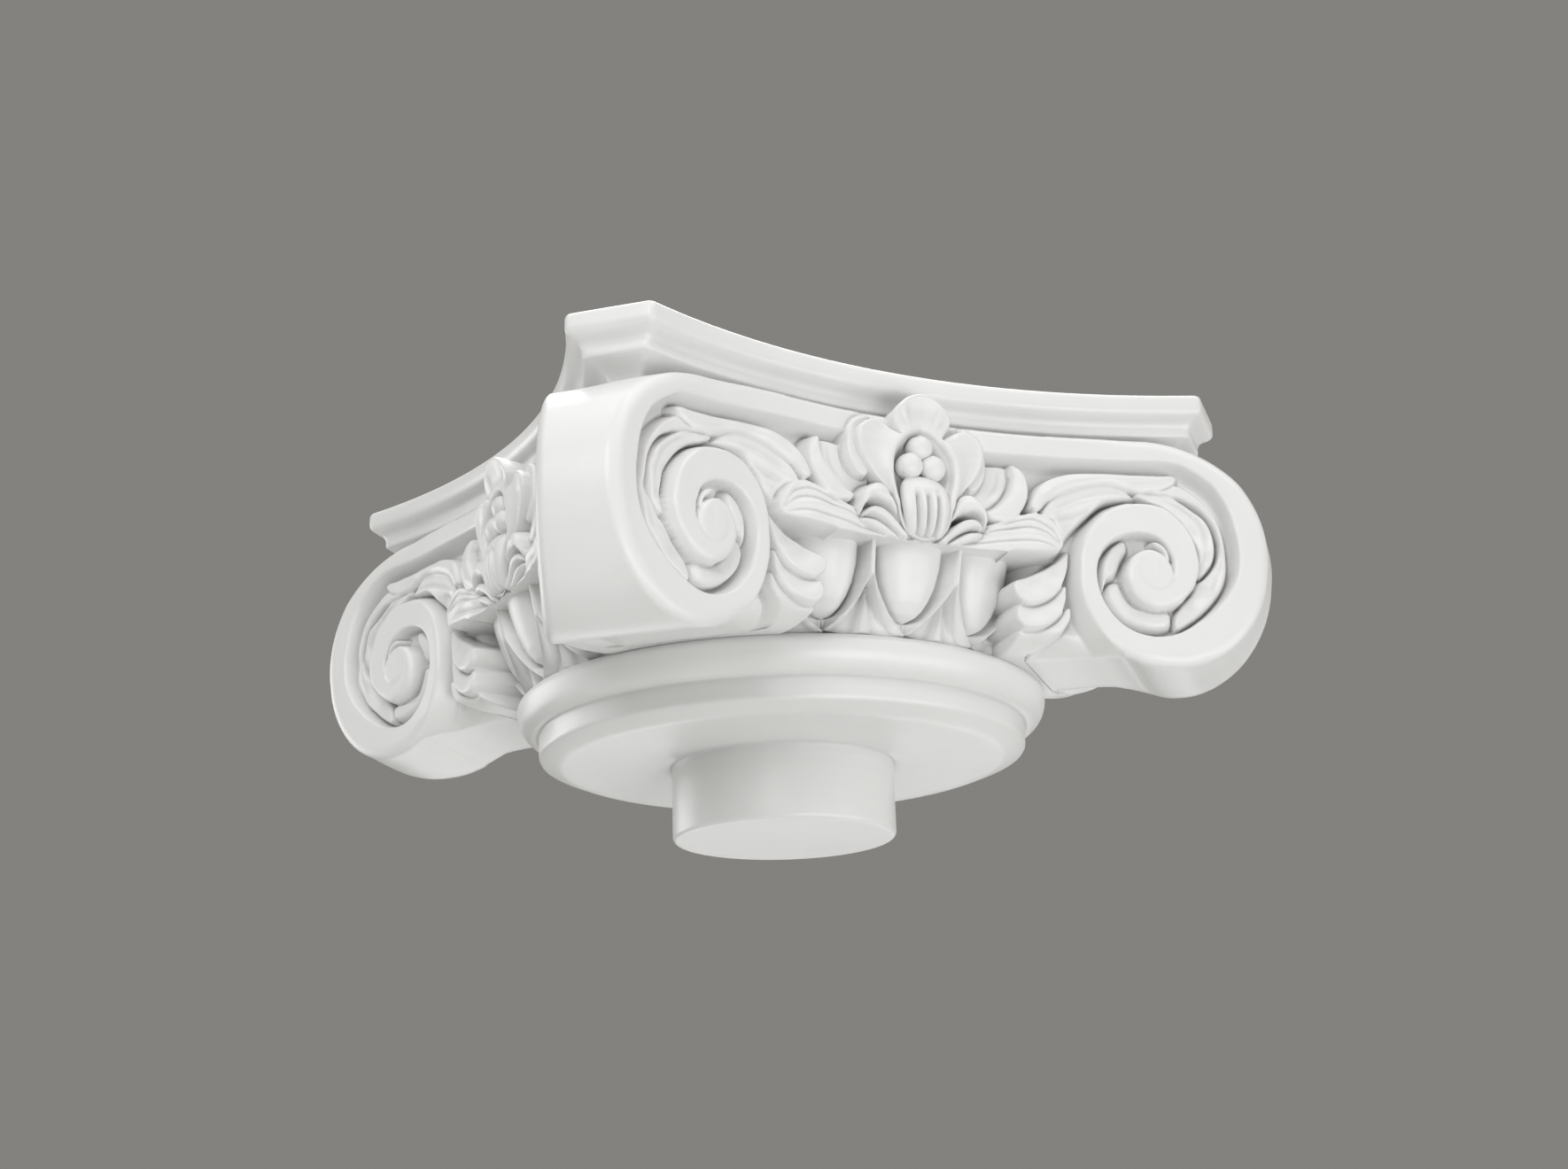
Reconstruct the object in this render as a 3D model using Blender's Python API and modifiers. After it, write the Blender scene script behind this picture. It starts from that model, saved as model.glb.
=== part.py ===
"""Angular Ionic column capital, cast in one piece with its round tenon.

Metres, +Z up. The origin is the centre of the tenon's underside, and the
front face looks along -Y. The four faces are alike, so one eighth is joined
from simple solids and mirrored across the diagonal, then across X and Y.
"""
import math

import bmesh
import bpy
from mathutils import Vector

# Round members, from the tenon up
TENON_RADIUS = 0.0548
TENON_HEIGHT = 0.0365
TENON_CHAMFER = 0.0025
SEAT_RADIUS = 0.1094
SEAT_CHAMFER_HEIGHT = 0.0044
FILLET_RADIUS = 0.120
FILLET_HEIGHT = 0.0101
ASTRAGAL_PROJECTION = 0.0108
ASTRAGAL_LOWER_HEIGHT = 0.0129
ASTRAGAL_UPPER_HEIGHT = 0.0061
ECHINUS_HEIGHT = 0.041
ECHINUS_FLARE = 0.009
ROUND_STEPS = 40

# Abacus with four hollow sides and cut-off horns
ABACUS_HALF_WIDTH = 0.1393
HORN_DIAGONAL = 0.222
HORN_WIDTH = 0.0406
CROWN_EDGE = 0.0025
CROWN_HEIGHT = 0.0098
CROWN_STEP = 0.0075
CROWN_STEP_HEIGHT = 0.0052
MEMBER_HEIGHT = 0.0042
COVE_DEPTH = 0.011
COVE_HEIGHT = 0.0050
SIDE_STEPS = 8

# Channel between the volutes
CHANNEL_HEIGHT = 0.0580
CHANNEL_DEPTH = 0.0125
CHANNEL_HORN_DIAGONAL = 0.202
BAND_HEIGHT = 0.0115
BAND_COVE = 0.0045
BAND_STEPS = 4
FACE_PROJECTION = 0.0025

# Volutes
EYE_OFFSET = 0.1185
SCROLL_RADIUS = 0.0668
QUARTER_SHARES = (1.0, 0.82, 0.66, 0.535, 0.495, 0.375, 0.293, 0.20, 0.153)
WALL_SHARES = (0.17, 0.17, 0.17, 0.15, 0.20, 0.22, 0.21, 0.15, 0.12)
OUTER_TURN_STEPS = 3
INNER_TURN_STEPS = 2
SCROLL_EDGE = 0.0015
DRUM_FLOOR_DEPTH = 0.0080
DRUM_TURNS = (-0.2, 3.2)
DRUM_STEPS = 12
WEB_DEPTH = 0.0130
WEB_INNER = 0.0400
WEB_OUTER = 0.1010
WEB_FOOT = 0.0040
EYE_RADIUS = 0.0105
EYE_PROJECTION = 0.0065

# Egg and dart
EGG_COUNT = 20
EGG_HALF_WIDTH = 0.0155
EGG_BULGE = 0.0125
SHELL_RIM = 0.0058
SHELL_BULGE = 0.0060
DART_HALF_WIDTH = 0.0045
DART_HEIGHT = 0.0185
EGG_RISE = 0.0205

# Sizes that the carved leaves keep their proportions to
FLEURON_HEIGHT = 0.0670
PALMETTE_HEIGHT = 0.0440
PALMETTE_ROOT = 0.0505

# Where the leaves' middles lie and how thick they are, in shares of the hollow's depth
VOLUTE_LEAF_SUNK = 0.6
VOLUTE_LEAF_THICKNESS = 0.7
PALMETTE_SUNK = 0.36
PALMETTE_THICKNESS = 0.66
FLEURON_SUNK = 0.5

# How finely the solid is faceted and joined
ROUND_SIDES = 6
RIDGED_SIDES = 4
LOBE_STEPS = 4
EGG_SIDES = 8
EGG_STEPS = 5
KEPT_TRIANGLES = 0.60
MERGE_DISTANCE = 0.00001
OVERLAP = 0.004

PLASTER_COLOUR = (0.83, 0.82, 0.79, 1.0)
PLASTER_ROUGHNESS = 0.32

# Heights and arcs worked out from the sizes above
SEAT_Z = TENON_HEIGHT
FILLET_Z = SEAT_Z + SEAT_CHAMFER_HEIGHT
ASTRAGAL_Z = FILLET_Z + FILLET_HEIGHT
ASTRAGAL_BELLY_Z = ASTRAGAL_Z + ASTRAGAL_LOWER_HEIGHT
ECHINUS_Z = ASTRAGAL_BELLY_Z + ASTRAGAL_UPPER_HEIGHT
LEDGE_Z = ECHINUS_Z + ECHINUS_HEIGHT
BAND_TOP_Z = LEDGE_Z + CHANNEL_HEIGHT
MEMBER_Z = BAND_TOP_Z + COVE_HEIGHT
STEP_Z = MEMBER_Z + MEMBER_HEIGHT
CROWN_Z = STEP_Z + CROWN_STEP_HEIGHT
TOP_Z = CROWN_Z + CROWN_HEIGHT
EYE_Z = BAND_TOP_Z - SCROLL_RADIUS

HORN_X = (HORN_DIAGONAL - HORN_WIDTH / 2) / math.sqrt(2)
HORN_Y = (HORN_DIAGONAL + HORN_WIDTH / 2) / math.sqrt(2)
SAGITTA = HORN_Y - ABACUS_HALF_WIDTH
SIDE_RADIUS = (HORN_X ** 2 + SAGITTA ** 2) / (2 * SAGITTA)
ARC_CENTRE = ABACUS_HALF_WIDTH + SIDE_RADIUS
FACE_RADIUS = SIDE_RADIUS - FACE_PROJECTION


def clear_scene():
    for item in list(bpy.data.objects):
        bpy.data.objects.remove(item, do_unlink=True)


def make_collection(name):
    collection = bpy.data.collections.new(name)
    bpy.context.scene.collection.children.link(collection)
    return collection


def plaster():
    material = bpy.data.materials.new("plaster")
    material.use_nodes = True
    shader = material.node_tree.nodes["Principled BSDF"]
    shader.inputs["Base Color"].default_value = PLASTER_COLOUR
    shader.inputs["Roughness"].default_value = PLASTER_ROUGHNESS
    shader.inputs["Metallic"].default_value = 0.0
    return material


def add_object(name, mesh_builder, collection):
    builder = bmesh.new()
    mesh_builder(builder)
    bmesh.ops.recalc_face_normals(builder, faces=builder.faces)
    bmesh.ops.triangulate(builder, faces=builder.faces)
    mesh = bpy.data.meshes.new(name)
    builder.to_mesh(mesh)
    builder.free()
    item = bpy.data.objects.new(name, mesh)
    collection.objects.link(item)
    return item


def face_point(along, height, proud):
    """A point of the front face: along its arc, up, and out from the face."""
    angle = along / FACE_RADIUS
    radius = FACE_RADIUS - proud
    return Vector((radius * math.sin(angle), radius * math.cos(angle) - ARC_CENTRE, height))


def ring_point(angle, height, radius):
    """A point around the capital's axis, from the middle of the front face."""
    return Vector((radius * math.sin(angle), -radius * math.cos(angle), height))


def across_diagonal(point):
    """The same point mirrored to the face round the front right corner."""
    return Vector((-point.y, -point.x, point.z))


# Lofts and lobes

def loft(builder, sections):
    """Skin a row of closed sections and cap both ends."""
    rings = [[builder.verts.new(point) for point in section] for section in sections]
    count = len(rings[0])
    for lower, upper in zip(rings, rings[1:]):
        for index in range(count):
            after = (index + 1) % count
            builder.faces.new((lower[index], lower[after], upper[after], upper[index]))
    builder.faces.new(rings[0])
    builder.faces.new(rings[-1])


def bezier(points, share):
    """A point on the curve that the control points guide."""
    while len(points) > 1:
        points = [a.lerp(b, share) for a, b in zip(points, points[1:])]
    return points[0]


def lobe(builder, place, route, half_width, half_depth, sides=ROUND_SIDES, steps=LOBE_STEPS):
    """Bend a sphere along a route on the surface into a leaf, petal or bead.

    The route's points are (along, height, proud) for the place function.
    A lobe with few sides has a ridge down its middle.
    """
    controls = [Vector(point) for point in route]
    sphere = bmesh.ops.create_uvsphere(builder, u_segments=sides, v_segments=steps, radius=1.0)
    for vertex in sphere["verts"]:
        share = (1.0 + vertex.co.z) / 2
        here = bezier(controls, share)
        ahead = bezier(controls, min(1.0, share + 0.01))
        behind = bezier(controls, max(0.0, share - 0.01))
        centre = place(*here)
        normal = (place(here.x, here.y, here.z + 0.001) - centre).normalized()
        tangent = (place(*ahead) - place(*behind)).normalized()
        sideways = normal.cross(tangent).normalized()
        vertex.co = centre + sideways * (half_width * vertex.co.x) + normal * (half_depth * vertex.co.y)


# Turned neck

def quarter_ellipse(centre, half_width, half_height, start, steps=3):
    """Points of a quarter turn, downwards, from the start angle."""
    angles = [start - math.pi / 2 * step / steps for step in range(steps + 1)]
    return [(centre[0] + half_width * math.cos(a), centre[1] + half_height * math.sin(a)) for a in angles]


def neck_profile():
    core_top = (LEDGE_Z + BAND_TOP_Z) / 2
    core_radius = FILLET_RADIUS + ECHINUS_FLARE
    belly = (FILLET_RADIUS, ASTRAGAL_BELLY_Z)
    profile = [(0.0, core_top), (core_radius - OVERLAP, core_top), (core_radius, LEDGE_Z)]
    profile += [(FILLET_RADIUS + ECHINUS_FLARE / 3, ECHINUS_Z + ECHINUS_HEIGHT / 3)]
    profile += quarter_ellipse(belly, ASTRAGAL_PROJECTION, ASTRAGAL_UPPER_HEIGHT, math.pi / 2)
    profile += quarter_ellipse(belly, ASTRAGAL_PROJECTION, ASTRAGAL_LOWER_HEIGHT, 0.0)[1:]
    profile += [(FILLET_RADIUS, FILLET_Z), (SEAT_RADIUS, SEAT_Z), (TENON_RADIUS, SEAT_Z)]
    profile += [(TENON_RADIUS, TENON_CHAMFER), (TENON_RADIUS - TENON_CHAMFER, 0.0), (0.0, 0.0)]
    return profile


def make_neck(name, collection):
    points = neck_profile()
    mesh = bpy.data.meshes.new(name)
    edges = [(index, index + 1) for index in range(len(points) - 1)]
    mesh.from_pydata([(radius, 0.0, height) for radius, height in points], edges, [])
    neck = bpy.data.objects.new(name, mesh)
    collection.objects.link(neck)
    plain = neck.vertex_groups.new(name="plain")
    plain.add([index for index, point in enumerate(points) if point[1] < ECHINUS_Z], 1.0, "REPLACE")
    turn = neck.modifiers.new("turn", "SCREW")
    turn.axis = "Z"
    turn.steps = ROUND_STEPS
    turn.render_steps = ROUND_STEPS
    turn.use_merge_vertices = True
    turn.merge_threshold = MERGE_DISTANCE
    return neck


# Abacus and channel

def hollow_plan(inset, horn_diagonal, height):
    """Plan with four hollow sides, moved in from the abacus face by the inset."""
    radius = SIDE_RADIUS + inset
    end = math.pi / 4 + math.asin((horn_diagonal - ARC_CENTRE / math.sqrt(2)) / radius)
    side = []
    for step in range(SIDE_STEPS + 1):
        angle = end * (2 * step / SIDE_STEPS - 1)
        side.append((radius * math.sin(angle), radius * math.cos(angle) - ARC_CENTRE))
    plan = []
    for quarter in range(4):
        cosine, sine = ((1, 0), (0, 1), (-1, 0), (0, -1))[quarter]
        plan += [Vector((x * cosine - y * sine, x * sine + y * cosine, height)) for x, y in side]
    return plan


def build_abacus(builder):
    levels = [(CROWN_EDGE, TOP_Z), (0.0, TOP_Z - CROWN_EDGE)]
    rounding = quarter_ellipse((-CROWN_STEP, CROWN_Z), CROWN_STEP, CROWN_STEP_HEIGHT, 0.0, 2)
    levels += [(-outward, height) for outward, height in rounding]
    foot = CROWN_STEP + COVE_DEPTH
    levels += [(CROWN_STEP, MEMBER_Z), (foot, BAND_TOP_Z), (foot, BAND_TOP_Z - 3 * OVERLAP)]
    loft(builder, [hollow_plan(inset, HORN_DIAGONAL - inset, z) for inset, z in levels])


def build_channel(builder):
    inset = CHANNEL_DEPTH - FACE_PROJECTION
    levels = (LEDGE_Z, BAND_TOP_Z - OVERLAP)
    loft(builder, [hollow_plan(inset, CHANNEL_HORN_DIAGONAL, height) for height in levels])


# Volutes

def spiral_share(shares, turn):
    """Smooth value between the quarter-turn shares, turn counted in quarters."""
    index = min(int(turn), len(shares) - 2)
    share = turn - index
    before = shares[max(index - 1, 0)]
    start, end = shares[index], shares[index + 1]
    after = shares[min(index + 2, len(shares) - 1)]
    bend = (end - before) * share + (2 * before - 5 * start + 4 * end - after) * share ** 2
    bend += (3 * start - before - 3 * end + after) * share ** 3
    return start + bend / 2


def spiral_point(radius, turn):
    """Place on the face, clockwise from the top of the volute."""
    angle = turn * math.pi / 2
    return EYE_OFFSET + radius * math.sin(angle), EYE_Z + radius * math.cos(angle)


def wall_section(outer, inner, inward):
    """Section of the scroll's wall, from the front face across the diagonal."""
    base = (inner[0] + inward[0] * BAND_COVE, inner[1] + inward[1] * BAND_COVE)
    eased = (outer[0] + inward[0] * SCROLL_EDGE, outer[1] + inward[1] * SCROLL_EDGE)
    floor = -DRUM_FLOOR_DEPTH - OVERLAP / 4
    near = [
        face_point(*outer, -SCROLL_EDGE),
        face_point(*eased, 0.0),
        face_point(*inner, 0.0),
        face_point(*base, floor),
    ]
    far = [across_diagonal(face_point(*base, floor)), across_diagonal(face_point(*outer, floor))]
    return near + far


def scroll_turns():
    """Stations of the scroll in quarter turns, finer round the outer turn."""
    turns = [step / OUTER_TURN_STEPS for step in range(4 * OUTER_TURN_STEPS)]
    turns += [4 + step / INNER_TURN_STEPS for step in range(4 * INNER_TURN_STEPS + 1)]
    return turns


def build_scroll(builder):
    """The wall that runs along the channel's top and rolls up into the eye."""
    sections = []
    for step in range(BAND_STEPS):
        along = -OVERLAP + (EYE_OFFSET + OVERLAP) * step / BAND_STEPS
        outer = (along, BAND_TOP_Z)
        inner = (along, BAND_TOP_Z - BAND_HEIGHT)
        sections.append(wall_section(outer, inner, (0.0, -1.0)))
    for turn in scroll_turns():
        radius = SCROLL_RADIUS * spiral_share(QUARTER_SHARES, turn)
        wall = SCROLL_RADIUS * spiral_share(WALL_SHARES, turn)
        angle = turn * math.pi / 2
        inward = (-math.sin(angle), -math.cos(angle))
        cove_room = min(1.0, (radius - wall) / (2 * BAND_COVE))
        inward = (inward[0] * cove_room, inward[1] * cove_room)
        sections.append(wall_section(spiral_point(radius, turn), spiral_point(radius - wall, turn), inward))
    loft(builder, sections)


def build_drum(builder):
    """The body of the volute behind its scroll, from face to face."""
    outline = []
    for step in range(DRUM_STEPS + 1):
        turn = DRUM_TURNS[0] + (DRUM_TURNS[1] - DRUM_TURNS[0]) * step / DRUM_STEPS
        radius = SCROLL_RADIUS * (spiral_share(QUARTER_SHARES, max(turn, 0.0)) - WALL_SHARES[0] / 2)
        outline.append(spiral_point(radius, turn))
    near = [face_point(along, height, -DRUM_FLOOR_DEPTH) for along, height in outline]
    loft(builder, [near, [across_diagonal(point) for point in near]])


def build_web(builder):
    """The plain ground that ties the volute to the echinus behind the palmette."""
    foot = ECHINUS_Z + WEB_FOOT
    head = LEDGE_Z + OVERLAP
    outline = [(WEB_OUTER, foot), (WEB_INNER, foot), (WEB_INNER, head), (WEB_OUTER, head)]
    near = [face_point(along, height, -WEB_DEPTH) for along, height in outline]
    loft(builder, [near, [across_diagonal(point) for point in near]])


def build_eye(builder):
    start = (EYE_OFFSET - EYE_RADIUS, EYE_Z, 0.0)
    end = (EYE_OFFSET + EYE_RADIUS, EYE_Z, 0.0)
    lobe(builder, face_point, (start, end), EYE_RADIUS, EYE_PROJECTION)


# Carved leaves and flower

def volute_leaves():
    """Routes from the eye and half widths, in shares of the scroll radius."""
    return (
        (((-0.87, 0.53), (-0.49, 0.72), (-0.11, 0.70), (0.24, 0.69)), 0.075),
        (((-0.68, 0.47), (-0.34, 0.59), (-0.04, 0.54)), 0.080),
        (((0.02, 0.60), (0.62, 0.66), (0.80, -0.15), (0.18, -0.42)), 0.105),
        (((0.18, -0.36), (-0.12, -0.48), (-0.29, -0.11)), 0.070),
    )


def palmette_leaves():
    """Routes from its root and half widths, in shares of the palmette's height."""
    return (
        (((-0.04, 0.70), (0.40, 0.20), (0.70, 1.02)), 0.22),
        (((0.02, 0.42), (0.46, -0.06), (0.66, 0.62)), 0.19),
        (((0.10, 0.12), (0.50, -0.28), (0.68, 0.36)), 0.16),
    )


def fleuron_lobes():
    """Routes, half widths, half depths and sides, in shares of the fleuron's height."""
    return (
        (((0.0, 0.52, 0.05), (0.0, 0.84, 0.28), (0.0, 1.0, 0.17)), 0.27, 0.10, ROUND_SIDES),
        (((0.12, 0.42, 0.05), (0.36, 0.66, 0.24), (0.58, 0.60, 0.08)), 0.23, 0.09, ROUND_SIDES),
        (((0.0, 0.48, 0.20), (0.0, 0.70, 0.20)), 0.085, 0.09, ROUND_SIDES),
        (((0.09, 0.33, 0.20), (0.09, 0.55, 0.20)), 0.090, 0.10, ROUND_SIDES),
        (((0.0, 0.40, 0.14), (0.0, 0.18, 0.30), (0.0, -0.02, 0.12)), 0.090, 0.09, RIDGED_SIDES),
        (((0.12, 0.38, 0.10), (0.18, 0.16, 0.24), (0.12, -0.02, 0.08)), 0.075, 0.09, RIDGED_SIDES),
        (((0.14, 0.02, 0.08), (0.34, 0.60, 0.20), (0.54, 0.04, 0.06)), 0.100, 0.08, RIDGED_SIDES),
        (((0.54, 0.20, 0.04), (1.06, 0.22, 0.12), (0.84, 0.72, 0.08)), 0.120, 0.07, RIDGED_SIDES),
        (((0.42, 0.34, 0.02), (0.62, 0.46, 0.10), (0.82, 0.58, 0.04)), 0.170, 0.05, RIDGED_SIDES),
        (((0.12, 0.03, 0.08), (0.64, -0.04, 0.16), (1.14, 0.20, 0.06)), 0.085, 0.09, RIDGED_SIDES),
    )


def build_volute_leaf(leaf):
    route, half_width = leaf
    size = SCROLL_RADIUS
    proud = -DRUM_FLOOR_DEPTH * VOLUTE_LEAF_SUNK
    half_depth = DRUM_FLOOR_DEPTH * VOLUTE_LEAF_THICKNESS
    points = [(EYE_OFFSET + x * size, EYE_Z + z * size, proud) for x, z in route]

    def build(builder):
        lobe(builder, face_point, points, half_width * size, half_depth, RIDGED_SIDES)

    return build


def build_palmette_leaf(leaf):
    route, half_width = leaf
    size = PALMETTE_HEIGHT
    proud = -CHANNEL_DEPTH * PALMETTE_SUNK
    points = [(PALMETTE_ROOT + x * size, ECHINUS_Z + z * size, proud) for x, z in route]

    def build(builder):
        lobe(builder, face_point, points, half_width * size, CHANNEL_DEPTH * PALMETTE_THICKNESS)

    return build


def build_fleuron_lobe(shape):
    route, half_width, half_depth, sides = shape
    size = FLEURON_HEIGHT
    sunk = CHANNEL_DEPTH * FLEURON_SUNK
    points = [(x * size, LEDGE_Z + z * size, proud * size - sunk) for x, z, proud in route]

    def build(builder):
        lobe(builder, face_point, points, half_width * size, half_depth * size, sides)

    return build


# Egg and dart

def ovolo_radius(height):
    """Radius of the echinus behind the eggs."""
    share = (height - ECHINUS_Z) / ECHINUS_HEIGHT
    return FILLET_RADIUS + ECHINUS_FLARE * max(0.0, share)


def build_egg(index, half_width, bulge, drop):
    angle = 2 * math.pi * index / EGG_COUNT
    top = LEDGE_Z + EGG_RISE
    tip = ECHINUS_Z - drop
    middle = (top + tip) / 2
    route = [
        (angle, top, ovolo_radius(top)),
        (angle, middle, ovolo_radius(middle)),
        (angle, tip, ovolo_radius(tip)),
    ]

    def build(builder):
        lobe(builder, ring_point, route, half_width, bulge, EGG_SIDES, EGG_STEPS)

    return build


def build_dart(index):
    angle = 2 * math.pi * (index + 0.5) / EGG_COUNT
    top = ECHINUS_Z + DART_HEIGHT
    tip = ECHINUS_Z - OVERLAP
    route = [(angle, top, ovolo_radius(top)), (angle, tip, ovolo_radius(tip))]

    def build(builder):
        lobe(builder, ring_point, route, DART_HALF_WIDTH, OVERLAP, RIDGED_SIDES)

    return build


# Assembly

def make_blanks(collection):
    """The closed solids that are joined to the neck in the front right eighth."""
    builders = {"abacus": build_abacus, "channel": build_channel, "scroll": build_scroll}
    builders.update({"drum": build_drum, "web": build_web, "eye": build_eye})
    for number, leaf in enumerate(volute_leaves(), 1):
        builders[f"volute_leaf_{number}"] = build_volute_leaf(leaf)
    for number, leaf in enumerate(palmette_leaves(), 1):
        builders[f"palmette_leaf_{number}"] = build_palmette_leaf(leaf)
    for number, shape in enumerate(fleuron_lobes(), 1):
        builders[f"fleuron_lobe_{number}"] = build_fleuron_lobe(shape)
    for index in range(EGG_COUNT // 8):
        builders[f"egg_{index + 1}"] = build_egg(index, EGG_HALF_WIDTH, EGG_BULGE, 0.0)
        builders[f"dart_{index + 1}"] = build_dart(index)
    for index in range(EGG_COUNT // 8 + 1):
        shell_width = EGG_HALF_WIDTH + SHELL_RIM
        builders[f"shell_{index + 1}"] = build_egg(index, shell_width, SHELL_BULGE, OVERLAP)
    for name, builder in builders.items():
        blank = add_object(name, builder, collection)
        blank.hide_render = True
        blank.display_type = "WIRE"


def mirror_across(item, name, plane, axes):
    mirror = item.modifiers.new(name, "MIRROR")
    mirror.mirror_object = plane
    for index, flip in enumerate(axes):
        mirror.use_axis[index] = flip is not None
        mirror.use_bisect_axis[index] = flip is not None
        mirror.use_bisect_flip_axis[index] = bool(flip)
    mirror.bisect_threshold = MERGE_DISTANCE
    mirror.merge_threshold = MERGE_DISTANCE
    return mirror


def main():
    clear_scene()
    parts = make_collection("column_capital")
    cutters = make_collection("blanks")
    make_blanks(cutters)

    capital = make_neck("capital", parts)
    union = capital.modifiers.new("join", "BOOLEAN")
    union.operation = "UNION"
    union.operand_type = "COLLECTION"
    union.collection = cutters
    union.solver = "EXACT"
    thin = capital.modifiers.new("thin", "DECIMATE")
    thin.ratio = KEPT_TRIANGLES
    thin.vertex_group = "plain"
    thin.invert_vertex_group = True
    thin.vertex_group_factor = 1000.0

    diagonal = bpy.data.objects.new("diagonal_plane", None)
    diagonal.rotation_euler.z = math.radians(45)
    parts.objects.link(diagonal)
    mirror_across(capital, "mirror_diagonal", diagonal, (True, None, None))
    mirror_across(capital, "mirror_faces", None, (False, True, None))

    capital.data.materials.append(plaster())
    capital.data.shade_smooth()


main()
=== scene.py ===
"""Visual model of an angular Ionic capital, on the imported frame.

Sizes are in millimetres here and turn into metres where a mesh is made. The
front face looks along -Y. A face is drawn as a relief over (along, up) on its
concave surface; one corner holds half of two faces and is turned four times.
"""
import math

import bmesh
import bpy
import numpy as np
from mathutils import Matrix, Vector
from mathutils.geometry import delaunay_2d_cdt


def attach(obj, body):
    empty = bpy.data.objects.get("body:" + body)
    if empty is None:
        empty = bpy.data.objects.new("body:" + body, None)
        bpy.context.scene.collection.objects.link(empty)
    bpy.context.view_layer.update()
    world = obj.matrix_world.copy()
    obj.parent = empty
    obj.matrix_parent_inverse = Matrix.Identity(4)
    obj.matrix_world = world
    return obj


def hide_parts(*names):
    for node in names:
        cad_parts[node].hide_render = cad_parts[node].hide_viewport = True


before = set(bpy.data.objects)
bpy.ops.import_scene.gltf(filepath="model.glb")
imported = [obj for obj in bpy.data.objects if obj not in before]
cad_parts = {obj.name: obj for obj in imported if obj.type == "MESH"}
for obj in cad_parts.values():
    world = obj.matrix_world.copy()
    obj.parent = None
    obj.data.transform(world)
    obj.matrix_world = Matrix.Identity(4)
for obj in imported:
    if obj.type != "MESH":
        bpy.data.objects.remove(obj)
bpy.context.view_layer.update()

MM = 0.001

# Sizes shared with the solid
TENON_RADIUS = 54.8
SEAT_Z = 36.5
SEAT_RADIUS = 109.4
FILLET_RADIUS = 120.0
ASTRAGAL_BELLY_Z = 63.9
ASTRAGAL_RADIUS = 130.8
BAND_TOP_Z = 169.0
TOP_Z = 193.2
ABACUS_HALF_WIDTH = 139.3
HORN_DIAGONAL = 222.0
HORN_WIDTH = 40.6
FACE_PROJECTION = 2.5
EYE_OFFSET = 118.5
EYE_Z = 102.2
EGG_COUNT = 20

HORN_X = (HORN_DIAGONAL - HORN_WIDTH / 2) / math.sqrt(2)
HORN_Y = (HORN_DIAGONAL + HORN_WIDTH / 2) / math.sqrt(2)
SAGITTA = HORN_Y - ABACUS_HALF_WIDTH
SIDE_RADIUS = (HORN_X ** 2 + SAGITTA ** 2) / (2 * SAGITTA)
ARC_CENTRE = ABACUS_HALF_WIDTH + SIDE_RADIUS
FACE_RADIUS = SIDE_RADIUS - FACE_PROJECTION

# Relief of a half face: along runs from the middle of the face to its corner
CANVAS = (-8.0, 178.0, 50.0, 174.0)
PITCH = 0.35
SOFTNESS = 0.4
CHANNEL_FLOOR = -10.0
GROUND_FLOOR = -13.0
HIDDEN_FLOOR = -34.0
BAND_EDGE_Z = 158.5
COVE_FOOT_Z = 153.5
COVE_POWER = 1.7
LEDGE_BOTTOM_Z = 108.6
CURVE_STEPS = 6

# Mesh of a half face: fine where the relief bends, with rows of points along its steps
GRID = 0.98
FINE_SHARE = 0.58
ROW_SHARE = 0.866
DETAIL = 0.8
CELL = 0.15
EDGE_SPACING = 0.62
EDGE_REACH = 0.66
EDGE_STEP = 0.8
EDGE_ROWS = (-1, -0.34, 0.34, 1)

# Outline of a half face, and the rounding of its outer edges as (width, depth)
NOSE_END = 200.0
INNER_S = 44.0
SIDE_FROM_S = 70.0
UNDER_CURVE = ((94, 65.6), (82, 67.4), (64, 68), (INNER_S, 68))
NOSE_ROUNDING = (6.2, 3.2)
BAND_ROUNDING = (2.4, 1.3)
UNDER_DEPTH = ((44, 28.0), (70, 20.0), (84, 10.0), (94, 5.0), (104, NOSE_ROUNDING[1]))
UNDER_WIDTH = ((44, 9.0), (76, 9.0), (94, 7.5), (104, NOSE_ROUNDING[0]))
ROUND_SHARE = 0.9
SIDE_STEPS = 22
BACK_FALLS = (1.2, 4.0)
BACK_DEPTH = -36.0
BACK_POINT = (38.0, -38.0, 135.0)

QUARTERS = ((1, 0), (0, 1), (-1, 0), (0, -1))


def face_xyz(along, up, proud):
    """Points of the front face from arrays of along, up and out."""
    angle = along / FACE_RADIUS
    radius = FACE_RADIUS - proud
    return np.stack([radius * np.sin(angle), radius * np.cos(angle) - ARC_CENTRE, up], -1)


def across_diagonal(points):
    return np.stack([-points[..., 1], -points[..., 0], points[..., 2]], -1)


def smooth(value, low, high):
    share = np.clip((value - low) / (high - low), 0.0, 1.0)
    return share * share * (3 - 2 * share)


def spline(points, steps=8, closed=False):
    """Smooth curve through the points."""
    given = [np.array(point, float) for point in points]
    count = len(given)
    curve = []
    for index in range(count if closed else count - 1):
        if closed:
            a, b, c, d = (given[(index + shift) % count] for shift in (-1, 0, 1, 2))
        else:
            a, b = given[max(index - 1, 0)], given[index]
            c, d = given[index + 1], given[min(index + 2, count - 1)]
        for step in range(steps):
            t = step / steps
            curve.append(0.5 * (2 * b + (c - a) * t + (2 * a - 5 * b + 4 * c - d) * t ** 2
                                + (3 * b - a - 3 * c + d) * t ** 3))
    if not closed:
        curve.append(given[-1])
    return np.array(curve)


def by_turn(table, turn):
    turns, values = zip(*table)
    return np.interp(turn, turns, values)


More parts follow.
